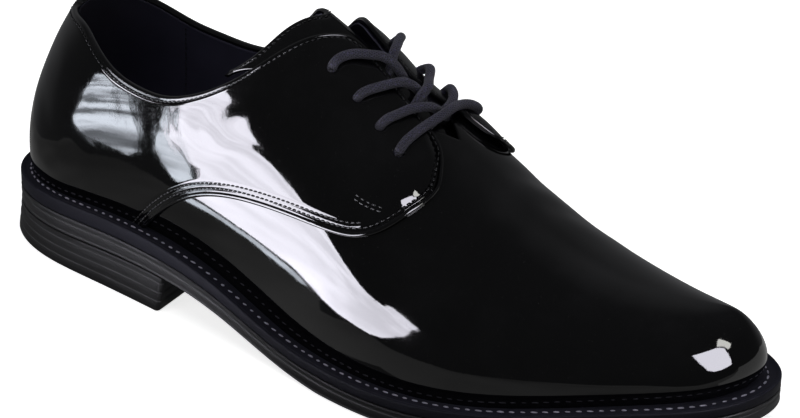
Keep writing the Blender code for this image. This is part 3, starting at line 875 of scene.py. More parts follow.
# ---------------------------------------------------------------- stitches and bars by nodes
class Rows(Nodes):
    """Geometry node tree with named number inputs that grows copies on a carrier."""

    def __init__(self, name, values):
        super().__init__(bpy.data.node_groups.new(name, "GeometryNodeTree"))
        new_socket = self.tree.interface.new_socket
        new_socket(name="Geometry", in_out="INPUT", socket_type="NodeSocketGeometry")
        for label, value in values.items():
            socket = new_socket(name=label, in_out="INPUT", socket_type="NodeSocketFloat")
            socket.default_value = value
        new_socket(name="Geometry", in_out="OUTPUT", socket_type="NodeSocketGeometry")
        self.given = self.tree.nodes.new("NodeGroupInput").outputs

    def input(self, label):
        return Tone(self, self.given[label])

    def kept(self, label, kind):
        """A value stored on the carrier's points."""
        return self.node("GeometryNodeInputNamedAttribute", {"data_type": kind},
                         {"Name": label}, "Attribute")

    def vector(self, x, y, z):
        return self.node("ShaderNodeCombineXYZ", None, {"X": x, "Y": y, "Z": z})

    def copies(self, points, copy, scale, finish):
        """Places a copy on each point by its way and facing, realizes them and colours them."""
        turn = self.node("FunctionNodeAxesToRotation",
                         {"primary_axis": "Z", "secondary_axis": "X"},
                         {"Primary Axis": self.kept("facing", "FLOAT_VECTOR"),
                          "Secondary Axis": self.kept("way", "FLOAT_VECTOR")})
        made = self.node("GeometryNodeInstanceOnPoints", None, {
            "Points": points, "Instance": copy, "Rotation": turn, "Scale": scale})
        made = self.node("GeometryNodeRealizeInstances", None, {"Geometry": made})
        made = self.node("GeometryNodeSetShadeSmooth", None, {"Geometry": made})
        made = self.node("GeometryNodeSetMaterial", None, {
            "Geometry": made, "Material": finish_named(finish)})
        self.feed(self.tree.nodes.new("NodeGroupOutput"), {"Geometry": made})

    def grown(self, obj, values, name):
        """Runs the tree on a carrier and keeps the result as a plain mesh piece."""
        modifier = obj.modifiers.new("rows", "NODES")
        modifier.node_group = self.tree
        for item in self.tree.interface.items_tree:
            if item.in_out == "INPUT" and item.name in values:
                modifier[item.identifier] = float(values[item.name])
        bpy.context.view_layer.update()
        shown = obj.evaluated_get(bpy.context.evaluated_depsgraph_get())
        mesh = bpy.data.meshes.new_from_object(shown)
        mesh.name = name
        for label in [layer.name for layer in mesh.attributes if layer.name in ("facing", "way")]:
            mesh.attributes.remove(mesh.attributes[label])
        bpy.data.objects.remove(obj)
        return new_object(name, mesh)


def carrier(name, lines):
    """Mesh of open lines in metres, each point with its facing and its way along."""
    points, edges, facing, ways = [], [], [], []
    for line, normals in lines:
        base = sum(len(some) for some in points)
        points.append((line - SHIFT) * MM)
        facing.append(normals)
        ways.append(unit(np.gradient(line, axis=0)))
        edges += [(base + i, base + i + 1) for i in range(len(line) - 1)]
    mesh = new_mesh(name, np.concatenate(points).tolist(), edges, [])
    for label, values in (("facing", facing), ("way", ways)):
        layer = mesh.attributes.new(label, "FLOAT_VECTOR", "POINT")
        layer.data.foreach_set("vector", np.concatenate(values).astype(np.float32).ravel())
    return new_object(name, mesh)


def stitch_piece(name, lines, pitch, length, width, height, finish, uneven=0.1):
    """Rows of stitches: one small rounded grain of thread every pitch along each line."""
    values = {"Pitch": pitch, "Length": length, "Width": width, "Height": height,
              "Smallest": 1.0 - uneven}
    rows = Rows(name + "_nodes", values)
    least = rows.input("Smallest")
    vary = rows.node("FunctionNodeRandomValue", {"data_type": "FLOAT_VECTOR"}, {
        0: rows.vector(least, least, least), 1: (1.0, 1.0, 1.0), "Seed": 4})
    curve = rows.node("GeometryNodeMeshToCurve", None, {"Mesh": rows.input("Geometry")})
    even = rows.node("GeometryNodeResampleCurve", {"mode": "LENGTH"}, {
        "Curve": curve, "Length": rows.input("Pitch")})
    grain = rows.node("GeometryNodeMeshUVSphere", None, {"Segments": 8, "Rings": 5, "Radius": 0.5})
    grain = rows.node("GeometryNodeTransform", None, {
        "Geometry": grain, "Rotation": (0.0, pi / 2, 0.0)})
    size = rows.vector(*(rows.input(label) for label in ("Length", "Width", "Height")))
    grain = rows.node("GeometryNodeTransform", None, {"Geometry": grain, "Scale": size})
    rows.copies(even, grain, vary, finish)
    return rows.grown(carrier(name + "_lines", lines), values, name)


def bar_piece(name, spots, width, height, finish):
    """Tread bars: a block on each spot, as long across the sole as its own reach says."""
    values = {"Width": width, "Height": height}
    rows = Rows(name + "_nodes", values)
    points = rows.node("GeometryNodeMeshToPoints", None, {"Mesh": rows.input("Geometry")})
    block = rows.node("GeometryNodeMeshCube", None, {"Size": (1.0, 1.0, 1.0)})
    size = rows.vector(rows.input("Width"), rows.kept("reach", "FLOAT"), rows.input("Height"))
    rows.copies(points, block, size, finish)
    obj = carrier(name + "_spots", [(spots[:, :3], np.tile((0.0, 0.0, 1.0), (len(spots), 1)))])
    layer = obj.data.attributes.new("reach", "FLOAT", "POINT")
    layer.data.foreach_set("value", (spots[:, 3] * MM).astype(np.float32))
    obj.data.attributes["way"].data.foreach_set(
        "vector", np.tile((1.0, 0.0, 0.0), len(spots)).astype(np.float32))
    return rows.grown(obj, values, name)


# ---------------------------------------------------------------- lines on the upper
def opening_rise(degrees):
    """Rise of the opening's edge on either side."""
    degrees = np.asarray(degrees, float)
    return np.where(degrees >= 0, OUTER_OPENING(np.abs(degrees)), INNER_OPENING(np.abs(degrees)))


def stretched(degrees):
    """The inner facing's nose reaches a little farther forward than the outer one."""
    reach = INNER_NOSE_REACH * smooth((np.abs(degrees) - 92.0) / 12.0)
    return np.where(np.asarray(degrees) < 0, degrees - reach, degrees)


def quarter_lift(degrees, rise):
    """The quarters lie on the vamp; the facings stand off it near their noses."""
    stand = smooth((np.abs(degrees) - 90.0) / 13.0) * smooth((rise - 0.58) / 0.22)
    return QUARTER_LIFT + stand * np.where(np.asarray(degrees) < 0, INNER_NOSE_LIFT,
                                           OUTER_NOSE_LIFT)


def side_params(count):
    """Turns along one side, spread evenly over the length of the opening's edge."""
    fine = np.linspace(0, pi / 2, 4001)
    degrees = NOSE_TURN * np.sin(fine)
    line = lifted(degrees, OUTER_OPENING(degrees), QUARTER_LIFT)
    way = travel(line)
    share = 0.6 * way / way[-1] + 0.4 * fine / fine[-1]
    return NOSE_TURN * np.sin(np.interp(np.linspace(0, 1, count), share, fine))


def crowded(count, pull):
    """Shares from 0 to 1, closer together at both ends."""
    w = np.linspace(0, 1, count)
    return w - pull * np.sin(2 * pi * w) / (2 * pi)


def slid(degrees, rise, away, distance):
    """Turn and rise of the points at a distance along the surface in the given direction."""
    turn = np.radians(degrees)
    target = last_point(turn, rise) + away * distance
    d = 1e-3
    for _ in range(5):
        miss = target - last_point(turn, rise)
        by_turn, by_rise = (step / (2 * d) for step in last_steps(turn, rise, d))
        a, b, c, e, f = ((one * two).sum(-1) for one, two in (
            (by_turn, by_turn), (by_turn, by_rise), (by_rise, by_rise),
            (by_turn, miss), (by_rise, miss)))
        det = np.maximum(a * c - b * b, 1e-9)
        turn = turn + np.clip((e * c - f * b) / det, -0.05, 0.05)
        rise = rise + np.clip((a * f - b * e) / det, -0.05, 0.05)
    return np.degrees(turn), rise


def quarter_edge(side, count):
    """One side's free edge as turn and rise: up the lower seam, round the nose, and back
    along the facing and the collar to the heel."""
    half = side_params(count)
    seam = half[SEAM_RISE(half) > -0.03]
    degrees = np.concatenate([seam, half[-2::-1]])
    rise = np.concatenate([SEAM_RISE(seam), opening_rise(side * half)[-2::-1]])
    if side < 0:
        rise[len(seam) - 1] = (SEAM_RISE(NOSE_TURN) + INNER_OPENING(NOSE_TURN)) / 2
    return side * degrees, rise, len(seam)


def edge_margin(degrees, on_seam):
    """Distance of the edge row in from the free edge: closer along the opening."""
    opening = 2.4 - 0.8 * smooth((np.abs(degrees) - 50.0) / 25.0)
    near = smooth((np.abs(degrees) - 101.0) / 3.0)
    return np.where(on_seam, 2.9, opening + (2.9 - opening) * near)


def free_edge(side, count):
    """A side's free edge: turns, which points lie on the seam, its line, and a function that
    gives turns, rises and directions out at a distance in from it."""
    degrees, rise, seam = quarter_edge(side, count)
    turned = stretched(degrees)
    line = lifted(turned, rise, 0.0)
    normal = last_normal(np.radians(turned), rise)
    inward = -side * unit(np.cross(unit(np.gradient(line, axis=0)), normal))

    def moved_in(distance):
        there, up = slid(turned, rise, inward, distance[:, None])
        return there, up, last_normal(np.radians(there), up)

    return degrees, np.arange(len(degrees)) < seam, line, moved_in


def inset_line(side, distance, last, spacing=0.7):
    """Line on the quarter at a distance in from its free edge, as far as a share of it."""
    degrees, on_seam, line, moved_in = free_edge(side, EDGE_POINTS)
    if distance is None:
        distance = edge_margin(degrees, on_seam)
    turned, rise, normals = moved_in(np.broadcast_to(distance, len(degrees)))
    way = travel(line)
    keep = way / way[-1] <= last
    points = lifted(turned, rise, quarter_lift(turned, rise))[keep]
    reach = travel(points)
    even = np.linspace(0, reach[-1], int(reach[-1] / spacing) + 2)
    return read_off(even, reach, points), unit(read_off(even, reach, normals[keep]))


def seam_share(side, turn):
    """Share of the free edge's length where its seam part passes a turn."""
    degrees, on_seam, line, _ = free_edge(side, EDGE_POINTS)
    way = travel(line)
    return way[on_seam][np.abs(np.abs(degrees[on_seam]) - turn).argmin()] / way[-1]


# ---------------------------------------------------------------- upper pieces
# half widths out and up, and lift of the middle, of the rolled edge by its part
ROLL_OUT = {"seam": 0.95, "facing": 0.62, "collar": 1.1}
ROLL_UP = {"seam": 0.85, "facing": 0.72, "collar": 1.4}
ROLL_CENTRE = {"seam": 1.0, "facing": 0.85, "collar": -0.1}


def roll_sizes(degrees, on_seam):
    """Half widths and centre lift of the rolled edge, eased from collar to facing to seam."""
    facing = smooth((np.abs(degrees) - 72.0) / 9.0)
    seam = np.where(on_seam, smooth((103.9 - np.abs(degrees)) / 1.2), 0.0)
    sizes = []
    for table in (ROLL_OUT, ROLL_UP, ROLL_CENTRE):
        value = table["collar"] + (table["facing"] - table["collar"]) * facing
        sizes.append(value + (table["seam"] - value) * seam)
    return sizes


def side_edge_line(side):
    """The rolled edge of one side: its middle line, directions out, and half widths."""
    degrees, on_seam, _, moved_in = free_edge(side, ROLL_POINTS)
    out, up, centre = roll_sizes(degrees, on_seam)
    turned, rise, normals = moved_in(out)
    stand = quarter_lift(turned, rise) - QUARTER_LIFT
    return lifted(turned, rise, centre + stand), normals, out, up


def quarter_grid(columns, rows):
    """Turns and rises over both quarters, from the inner nose round the heel to the outer."""
    half = side_params(columns)
    degrees = np.concatenate([-half[:0:-1], half])
    size = np.abs(degrees)
    low = np.maximum(SEAM_RISE(size), -0.022) + 0.009
    top = opening_rise(degrees) - 0.010
    low = np.minimum(low, top - 0.004)
    share = crowded(rows, 0.82)
    rise = low[:, None] + (top - low)[:, None] * share[None, :]
    pulled = degrees * (1 - 0.007 * smooth((size - 94.0) / 10.0))
    turned = np.repeat(stretched(pulled)[:, None], rows, axis=1)
    return turned.ravel(), rise.ravel(), len(degrees)


def vamp_rises(size, low_rows, high_rows):
    """Rises of the vamp's rows: up to the lap under the quarters, then to its free edge."""
    start = THROAT[0][0]
    lap = np.maximum(SEAM_RISE(np.minimum(size, start)), -0.02) + 0.055
    free = np.where(size > start, np.interp(size, column(THROAT, 0), column(THROAT, 1)), lap)
    low = -0.022 + (lap + 0.022)[:, None] * np.linspace(0, 1, low_rows + 1)[:-1]
    high = lap[:, None] + (free - lap)[:, None] * np.linspace(0, 1, high_rows)
    return np.concatenate([low, high], axis=1)


def spread_turns(start, end, count, bend_share=0.5):
    """Turns in degrees between two, closer together where the outline bends."""
    turn = np.linspace(radians(start), radians(end), 2001)
    x, y = edge(turn, 0.0)
    dx = np.diff(x)
    dy = np.diff(y)
    length = np.hypot(dx, dy)
    bend = np.abs(np.diff(np.unwrap(np.arctan2(dy, dx))))
    cost = length / length.sum() + bend_share * np.append(bend, bend[-1]) / bend.sum()
    way = np.append(0.0, np.cumsum(cost))
    return np.degrees(np.interp(np.linspace(0, way[-1], count), way, turn))


def toe_turns(start, count):
    """Turns from one on the outer side to the toe tip, with two held by the throat's corner."""
    half = spread_turns(start, 180.0, count)
    near = np.abs(half - THROAT_TURN).argmin()
    half[near - 1:near + 1] = THROAT_TURN - 0.3, THROAT_TURN
    return half


def build_vamp():
    """Plain front of the shoe, in one piece from seam to seam over the toe."""
    half = toe_turns(50.0, 212)
    around_toe = np.concatenate([half, 360.0 - half[-2::-1]])
    size = np.minimum(around_toe, 360.0 - around_toe)
    low_rows, high_rows = 40, 46
    rows = low_rows + high_rows
    rise = vamp_rises(size, low_rows, high_rows).ravel()
    degrees = np.repeat(around_toe, rows)
    base = lifted(degrees, rise, 0.0)
    lift = crease_lift(base)
    first, faces = welded(base, grid_faces(len(around_toe), rows))
    ease = smooth((rise - 0.80) / 0.14) * smooth((np.repeat(size, rows) - 103.0) / 3.0)
    outer, inner = (relaxed(lifted(degrees, rise, lift - drop)[first], faces, ease[first], 45)
                    for drop in (0.0, VAMP_THICK))
    return shell("vamp", outer, inner, faces, ["patent", "lining"])


def build_quarters(sizes):
    """Both quarters in one piece, round the heel, with punched lace holes."""
    columns, rows = 248, 84
    degrees, rise, count = quarter_grid(columns, rows)
    lift = quarter_lift(degrees, rise)
    base = lifted(degrees, rise, lift)
    rows_sewn = [inset_line(side, distance, last, 0.1)[0] for side in (1, -1)
                 for distance, last in ((None, 1.0), (SECOND_ROW, seam_share(side, 97.0)))]
    away = distance_to(base, np.concatenate(rows_sewn))
    nose = smooth((np.abs(degrees) - 96.5) / 4.0)
    relief = -0.20 * hump(away / 0.55) - 0.70 * nose * hump(away / 2.4)
    turn, place = np.array(EYELETS).T
    holes = across(turn, place, quarter_lift(-np.sign(place) * turn, 1 - np.abs(place)))
    for hole in holes:
        relief -= 0.5 * hump(np.linalg.norm(base - hole, axis=1) / 2.7)
    lift = lift + relief + crease_lift(base)
    outer, inner = (lifted(degrees, rise, lift - drop) for drop in (0.0, QUARTER_THICK))
    faces = punched(outer, inner, grid_faces(count, rows), holes, sizes.eyelet_radius / MM)
    return shell("quarters", outer, inner, faces, ["patent", "lining"])


def build_edge_roll():
    """The folded edge of the quarters: seam bead, nose, facing and collar in one run."""
    points, normals, out, up = (np.concatenate([a, b[-2::-1]]) for a, b in
                                zip(side_edge_line(1), side_edge_line(-1)))
    points, faces = swept(points, normals, out, up, 14)
    return new_piece("edge_roll", points, facing_out(points, faces), ["rolled"])


def build_lining():
    """Soft lining inside vamp and quarters, a little below the collar's edge."""
    half = toe_turns(0.0, 190)
    degrees = np.concatenate([half, 360.0 - half[-2:0:-1]])
    turn = signed(degrees)
    top = np.where(np.abs(turn) >= THROAT_TURN - 0.01, 1.0, opening_rise(turn) - 0.014)
    rows = 44
    rise = (0.004 + (top - 0.004)[:, None] * crowded(rows, 0.3)[None, :]).ravel()
    degrees, turn = np.repeat(degrees, rows), np.repeat(turn, rows)
    lift = LINING_LIFT - 1.4 * smooth((np.abs(turn) - 140.0) / 25.0) * smooth((rise - 0.80) / 0.15)
    seams = sum(0.22 * hump((turn - seam) / 0.9) * (rise < 0.6)
                for seam in (-GRIP_TURN, GRIP_TURN, 0.0))
    outer = lifted(degrees, rise, lift)
    inner = lifted(degrees, rise, lift + seams - LINING_THICK)
    faces = grid_faces(len(degrees) // rows, rows, closed=True)
    return shell("lining", outer, inner, faces, ["lining"])


def tongue_place(share, side, drop):
    """Point on the tongue by its share down from the top and its place across."""
    share, side = np.broadcast_arrays(np.asarray(share, float), np.asarray(side, float))
    half = TONGUE_HALF + (TONGUE_ROOT_HALF - TONGUE_HALF) * share ** 0.6
    top = TONGUE_EDGE(np.abs(TONGUE_HALF * side))
    degrees = top + (TONGUE_ROOT - top) * share
    sink = TONGUE_SINK * smooth(side / 0.5) * smooth((96.0 - degrees) / 12.0)
    return across(degrees, half * side, TONGUE_LIFT - sink - drop)


def build_tongue():
    """Leaf over the instep with a rounded, sewn edge."""
    columns, rows = 110, 76
    share = 0.012 + 0.988 * np.linspace(0, 1, columns) ** 1.25
    side = np.linspace(-0.985, 0.985, rows)
    share, side = (part.ravel() for part in np.meshgrid(share, side, indexing="ij"))
    groove = 0.18 * hump((share - TONGUE_ROW) / 0.012) * (np.abs(side) < 0.95)
    outer, inner = (tongue_place(share, side, drop) for drop in (groove, TONGUE_THICK))
    return shell("tongue_leaf", outer, inner, grid_faces(columns, rows), ["patent", "lining"])


# ---------------------------------------------------------------- sole pieces
HALF_SOLE = np.radians(spread_turns(0.0, 180.0, 281, 0.8))
SOLE_TURNS = np.concatenate([HALF_SOLE, 2 * pi - HALF_SOLE[-2:0:-1]])


def sole_loops(height, *loops):
    """Loops round the sole, each an inset and a number that the height function takes."""
    made = []
    for inset, number in loops:
        x, y = edge(SOLE_TURNS, inset)
        made.append(np.stack([x, y, height(x, number)], axis=-1))
    return made


def ground(x):
    """Underside of the outsole, flat on the floor under the ball of the foot."""
    return np.maximum(UNDERSIDE(x), 0.0)


def cap(start, pairs, flip):
    """Closes a loop of 2 * pairs points, mirrored about its first and last."""
    count = 2 * pairs
    faces = []
    for i in range(pairs):
        face = [start + i, start + i + 1,
                start + (count - i - 1) % count, start + (count - i) % count]
        face = [p for n, p in enumerate(face) if p not in face[:n]]
        faces.append(face[::-1] if flip else face)
    return faces


def stacked(name, loops, finish, crisp=40, lines=0):
    """Solid of loops of equal count, closed at both ends. It can have moulded lines, of
    RIB_LOOPS loops each after FOOT_LOOPS loops; their upward bevels carry a painted highlight."""
    count = len(loops[0])
    points = np.concatenate(loops)
    faces = bands(len(loops), count)
    faces += cap(0, count // 2, True)
    faces += cap((len(loops) - 1) * count, count // 2, False)
    piece = new_piece(name, points, facing_out(points, faces), [finish], crisp=crisp)
    # Painted highlight on the loops of each moulded line's upward bevel.
    wear_and_painted_highlight = np.zeros(len(loops), np.float32)
    for line in range(lines):
        wear_and_painted_highlight[FOOT_LOOPS + RIB_LOOPS * line + 2:][:2] = 1.0
    if lines:
        rib_highlight = piece.data.attributes.new("rib_highlight", "FLOAT", "POINT")
        rib_highlight.data.foreach_set("value", np.repeat(wear_and_painted_highlight, count))
    return piece


def ledge(share, reach):
    """Insets and shares of the height for a moulded line: a small bevel that faces up."""
    return [(inset, share + part * reach) for inset, part in (
        (0.0, -0.6), (0.03, -0.35), (0.08, -0.1), (0.17, 0.15), (0.21, 0.35), (0.21, 0.6),
        (0.15, 2.0))]


def build_welt():
    """Welt round the whole shoe: rounded rim, sewn channel, and a ledge against the upper."""
    def foot(x, rise):
        return WELT_TOP(x) - WELT_THICK(x) + rise

    def top(x, depth):
        return WELT_TOP(x) - depth

    loops = sole_loops(foot, (WELT_RING, 0.0), (0.6, 0.0), (0.3, 0.10), (0.12, 0.4), (0.04, 0.8))
    loops += sole_loops(top, (0.0, 0.66), (0.05, 0.38), (0.17, 0.16), (0.36, 0.03), (0.58, 0.0),
                        (0.82, 0.05), (1.15, 0.24), (1.6, 0.54), (2.1, 0.76), (2.7, 0.86),
                        (5.2, 0.86), (5.6, 0.74), (6.1, 0.7), (WELT_RING, 0.7))
    count = len(loops[0])
    points = np.concatenate(loops)
    faces = bands(len(loops), count)
    last = (len(loops) - 1) * count
    faces += [[last + i, last + (i + 1) % count, (i + 1) % count, i] for i in range(count)]
    return new_piece("welt_finished", points, facing_out(points, faces), ["welt"], crisp=50)


def build_outsole():
    """Outsole with a ribbed side and a recessed tread field."""
    def raised(x, height):
        return ground(x) + height

    def level(x, share):
        top = WELT_TOP(x) - WELT_THICK(x) - SEAM_GAP
        return top if share == 1 else ground(x) + (top - ground(x)) * share

    def seat(x, depth):
        return WELT_TOP(x) - depth

    ring = WELT_RING + SEAM_GAP
    loops = sole_loops(raised, (6.2, 0.9), (5.4, 0.9), (5.0, 0.0), (1.5, 0.0))
    loops += sole_loops(level, (0.6, 0.03), (0.0, 0.09))
    for line in OUTSOLE_LEDGES:
        loops += sole_loops(level, *ledge(line, 0.085))
    loops += sole_loops(level, (0.0, 0.93), (0.25, 1), (ring, 1))
    loops += sole_loops(seat, (ring, CHANNEL_DEPTH))
    return stacked("outsole_finished", loops, "sole", lines=len(OUTSOLE_LEDGES))


def heel_loop(inset, share, raised=0.0):
    """Loop round the heel block: the sole's curve, rounded corners and a straight breast."""
    flare = HEEL_FLARE * (1 - share)
    breast = HEEL_BREAST + BREAST_SLANT * share
    start = np.arccos(1 - 2 * (breast - HEEL_CORNER) / LENGTH)
    turns = np.linspace(0, start, 90)
    sides = []
    for sign in (1, -1):
        x, y = edge(sign * turns, inset - flare)
        side = list(zip(x, y))
        centre_y = y[-1] + sign * HEEL_CORNER
        reach = breast - inset - x[-1]
        for angle in np.linspace(0, pi / 2, 9)[1:]:
            side.append((x[-1] + reach * sin(angle), centre_y - sign * HEEL_CORNER * cos(angle)))
        sides.append(side)
    outer, inner = sides
    bridge = (outer[-1][0], (outer[-1][1] + inner[-1][1]) / 2)
    plan = np.array(outer + [bridge] + inner[:0:-1])
    height = (UNDERSIDE(plan[:, 0]) - 0.06) * share + raised
    return np.column_stack([plan, height])


def build_heel():
    """Low heel with moulded ribs round its side and a recessed top piece."""
    foot = ((6.0, 0.0, 0.9), (5.2, 0.0, 0.9), (4.8, 0.0), (0.9, 0.0), (0.25, 0.02), (0.0, 0.06))
    lines = [loop for line in HEEL_LEDGES for loop in ledge(line, 0.045)]
    loops = [heel_loop(*loop) for loop in (*foot, *lines, (0.0, 0.985), (0.12, 1.0))]
    return stacked("heel_finished", loops, "sole", lines=len(HEEL_LEDGES))


def build_sock():
    """Sock over the insole: cupped towards the walls, softly crowned in the middle."""
    low = SEAM_GAP - CHANNEL_DEPTH
    feather = FEATHER_INSET(station_of(SOLE_TURNS)) + INSOLE_GAP

    def level(x, height):
        return WELT_TOP(x) + low + height

    section = ((0.0, 0.0), (0.0, 2.3), (0.2, 2.75), (0.7, 3.0), (1.6, 3.02), (3.4, 2.72),
               (6.0, 2.5), (8.5, 2.4))
    loops = sole_loops(level, *((feather + extra, height) for extra, height in section))
    return stacked("sock", loops, "sock", crisp=60)


# ---------------------------------------------------------------- stitches, tread and laces
def build_upper_stitches(sizes):
    """Edge row round each quarter, second seam row, bar tacks and the tongue's row."""
    lines = []
    for side in (1, -1):
        lines.append(inset_line(side, None, 0.999))
        lines.append(inset_line(side, SECOND_ROW, seam_share(side, 97.3)))
        for shift in (0.0, 0.012):
            share = np.linspace(0, 1, 20)
            route = side * (95.3 + 3.4 * share)
            rise = 0.478 + shift + 0.026 * share ** 1.4
            lift = quarter_lift(route, rise)
            lines.append((lifted(route, rise, lift), last_normal(np.radians(route), rise)))
    line = tongue_place(TONGUE_ROW, np.linspace(-0.94, 0.94, 160), -0.02)
    lines.append((line, np.tile((-0.35, 0.0, 0.94), (len(line), 1))))
    return stitch_piece("upper_stitches", lines, sizes.stitch_pitch, sizes.stitch_length,
                        sizes.stitch_width, 0.00048, "thread")


def build_lining_stitches(sizes):
    """Sewn edges of the heel grip on the lining."""
    lines = []
    for turn in (-GRIP_ROW, GRIP_ROW):
        rise = np.linspace(0.06, float(opening_rise(turn)) - 0.03, 60)
        degrees = np.full(len(rise), turn)
        lines.append((lifted(degrees, rise, -1.72), -last_normal(np.radians(degrees), rise)))
    return stitch_piece("lining_stitches", lines, sizes.stitch_pitch, sizes.stitch_length,
                        sizes.stitch_width, 0.0004, "thread")


def build_welt_stitches(sizes):
    """Thick pale row lying in the welt's channel all the way round."""
    turns = np.append(SOLE_TURNS, SOLE_TURNS[0] + 2 * pi)
    forward = smooth((np.degrees(np.minimum(turns, 2 * pi - turns)) - 60.0) / 50.0)
    x, y = edge(turns, 3.75 + 0.75 * forward)
    line = np.stack([x, y, WELT_TOP(x) - 0.72], axis=-1)
    up = np.tile((0.0, 0.0, 1.0), (len(line), 1))
    return stitch_piece("welt_stitches", [(line, up)], sizes.welt_pitch, sizes.welt_pitch * 0.72,
                        0.00088, 0.0007, "welt_thread", 0.45)


def build_tread():
    """Fine cross bars under forepart and heel."""
    made = []
    for name, first, last, floor, margin, flare in (
            ("forepart_tread", 118.0, 286.0, ground, 7.0, 0.0),
            ("heel_tread", 10.0, 76.0, np.zeros_like, 7.2, HEEL_FLARE)):
        stations = np.arange(first, last, 4.6)
        turn = np.arccos(1 - 2 * stations / LENGTH)
        low = OUTLINE_Y(turn) - flare + margin
        high = OUTLINE_Y(-turn) + flare - margin
        keep = high - low > 6.0
        spots = np.column_stack([stations, (low + high) / 2, floor(stations) + 0.55,
                                 high - low])[keep]
        made.append(bar_piece(name, spots, 0.0026, 0.0011, "sole"))
    return made


def build_laces(sizes):
    """Round cord through the punched holes: the bar, then each crossing over the tongue."""
    parts = []
    guides = []
    sides = 22
    radius = sizes.lace_radius / MM
    for run in LACE_RUNS:
        line = smooth_line(across(*np.array(run).T), 0.45)
        normals = np.tile((0.35, 0.0, 1.0), (len(line), 1))
        points, faces = swept(line, normals, radius, radius * 0.96, sides)
        faces = facing_out(points, faces)
        way = travel(line)
        for face in faces:
            around_it = [p % sides for p in face]
            wraps = max(around_it) - min(around_it) > sides / 2 and len(face) == 4
            for p, turn in zip(face, around_it):
                share = (turn + (sides if wraps and turn < sides / 2 else 0)) / sides
                guides.append((share, way[p // sides]))
        parts.append((points, faces))
    points, faces = joined(parts)
    return new_piece("lace_cord", points, faces, ["lace"], braid=guides)


# ---------------------------------------------------------------- studio
CAMERA_SIDE = 31.4224
CAMERA_HEIGHT = 28.7361
CAMERA_ROLL = 1.2188
CAMERA_LENS = 151.64
CAMERA_AIM = Vector((0.00015, 0.005498, 0.030))
CAMERA_REACH = 1.1725
CAMERA_SHIFT = (0.00661, 0.01191)
FILL_AIM = Vector((0.0, 0.0, 0.05))
CARD_AIM = (0.135, -0.003, 0.035)
CARD_DISTANCE = 0.30


def ray(side, height):
    """Direction at a side angle, 0 straight out from the outer side, and a height, in radians."""
    return np.stack([np.sin(side) * np.cos(height), -np.cos(side) * np.cos(height),
                     np.sin(height)], axis=-1)


def add_camera():
    """Camera low over the outer side of the toe, looking down at the shoe."""
    side, height, roll = (radians(v) for v in (CAMERA_SIDE, CAMERA_HEIGHT, CAMERA_ROLL))
    back = Vector(ray(side, height))
    right = Vector((cos(side), sin(side), 0.0))
    up = back.cross(right)
    across_frame = cos(roll) * right + sin(roll) * up
    up_frame = -sin(roll) * right + cos(roll) * up
    place = CAMERA_AIM + back * CAMERA_REACH
    place += across_frame * CAMERA_SHIFT[0] + up_frame * CAMERA_SHIFT[1]
    data = bpy.data.cameras.new("camera")
    data.lens = CAMERA_LENS
    data.sensor_width = 36.0
    data.sensor_fit = "HORIZONTAL"
    data.clip_start = 0.05
    data.clip_end = 60.0
    camera = new_object("camera", data)
    frame_axes = Matrix((across_frame, up_frame, back)).transposed()
    camera.matrix_world = Matrix.Translation(place) @ frame_axes.to_4x4()
    bpy.context.scene.camera = camera


def add_fill(name, side, height, distance, width, tall, radiance):
    """Soft white rectangle over the middle of the shoe, not mirrored in it."""
    data = bpy.data.lights.new(name, "AREA")
    data.shape = "RECTANGLE"
    data.size = width
    data.size_y = tall
    data.energy = radiance * pi * width * tall
    light = new_object(name, data)
    back = Vector(ray(radians(side), radians(height)))
    light.location = FILL_AIM + back * distance
    light.rotation_euler = back.to_track_quat("Z", "Y").to_euler()
    light.visible_camera = False
    light.visible_glossy = False


# low cards round the outer side: angle from straight out, negative towards the heel, and
# distance in mm, both from a station on the shoe's middle line
LOW_CARD_STATION = 110.0
WINDOW_CARD = (
    (-53.7, 180), (-52.7, 198), (-52.5, 250), (-52.9, 320), (-53.3, 420), (-53.6, 550),
    (-53.9, 700), (-54.6, 1000), (-55.3, 1400), (-57.4, 1400), (-57.6, 900), (-58.1, 600),
    (-58.2, 400), (-58.8, 330), (-58.3, 285), (-57.0, 262), (-56.0, 238), (-55.2, 212),
    (-54.4, 192),
)
EDGE_CARD = (
    (-50.9, 600), (-50.45, 400), (-50.0, 310), (-49.3, 262), (-48.4, 232), (-47.3, 208),
    (-46.6, 196), (-46.2, 182), (-45.7, 171), (-46.6, 160), (-47.8, 150), (-49.1, 166),
    (-50.1, 186), (-50.9, 215), (-51.0, 260), (-50.9, 330), (-51.2, 600),
)
NEAR_CARD = (
    (-47.0, 118), (-46.0, 125), (-40.0, 115), (-32.0, 106), (-24.0, 97.5), (-15.0, 89.5),
    (-12.0, 86.5), (-15.0, 85), (-24.0, 92), (-32.0, 100.5), (-40.0, 109),
)
MAIN_CARD = (
    (-49.7, 285), (-49.1, 262), (-48.2, 233), (-47.1, 209), (-46.3, 204), (-45.3, 201),
    (-44.9, 184), (-45.4, 160), (-45.7, 129), (-40.0, 118), (-32.0, 108.5), (-24.0, 100.5),
    (-15.0, 92), (-5.0, 87), (5.0, 89), (12.0, 97), (18.0, 106), (20.0, 118), (18.0, 142),
    (14.0, 190), (9.0, 260), (5.0, 350), (2.0, 500), (0.3, 800), (-1.5, 1200), (-3.0, 3600),
    (-9.5, 3600), (-12.0, 1500), (-12.0, 800), (-9.5, 450), (-12.0, 360), (-15.0, 330),
    (-20.0, 345), (-25.0, 385), (-30.0, 430), (-35.0, 560), (-39.0, 680), (-41.4, 800),
    (-42.2, 1300), (-42.1, 3600), (-54.0, 3600), (-51.6, 1400), (-51.1, 740), (-50.6, 480),
    (-50.2, 360),
)
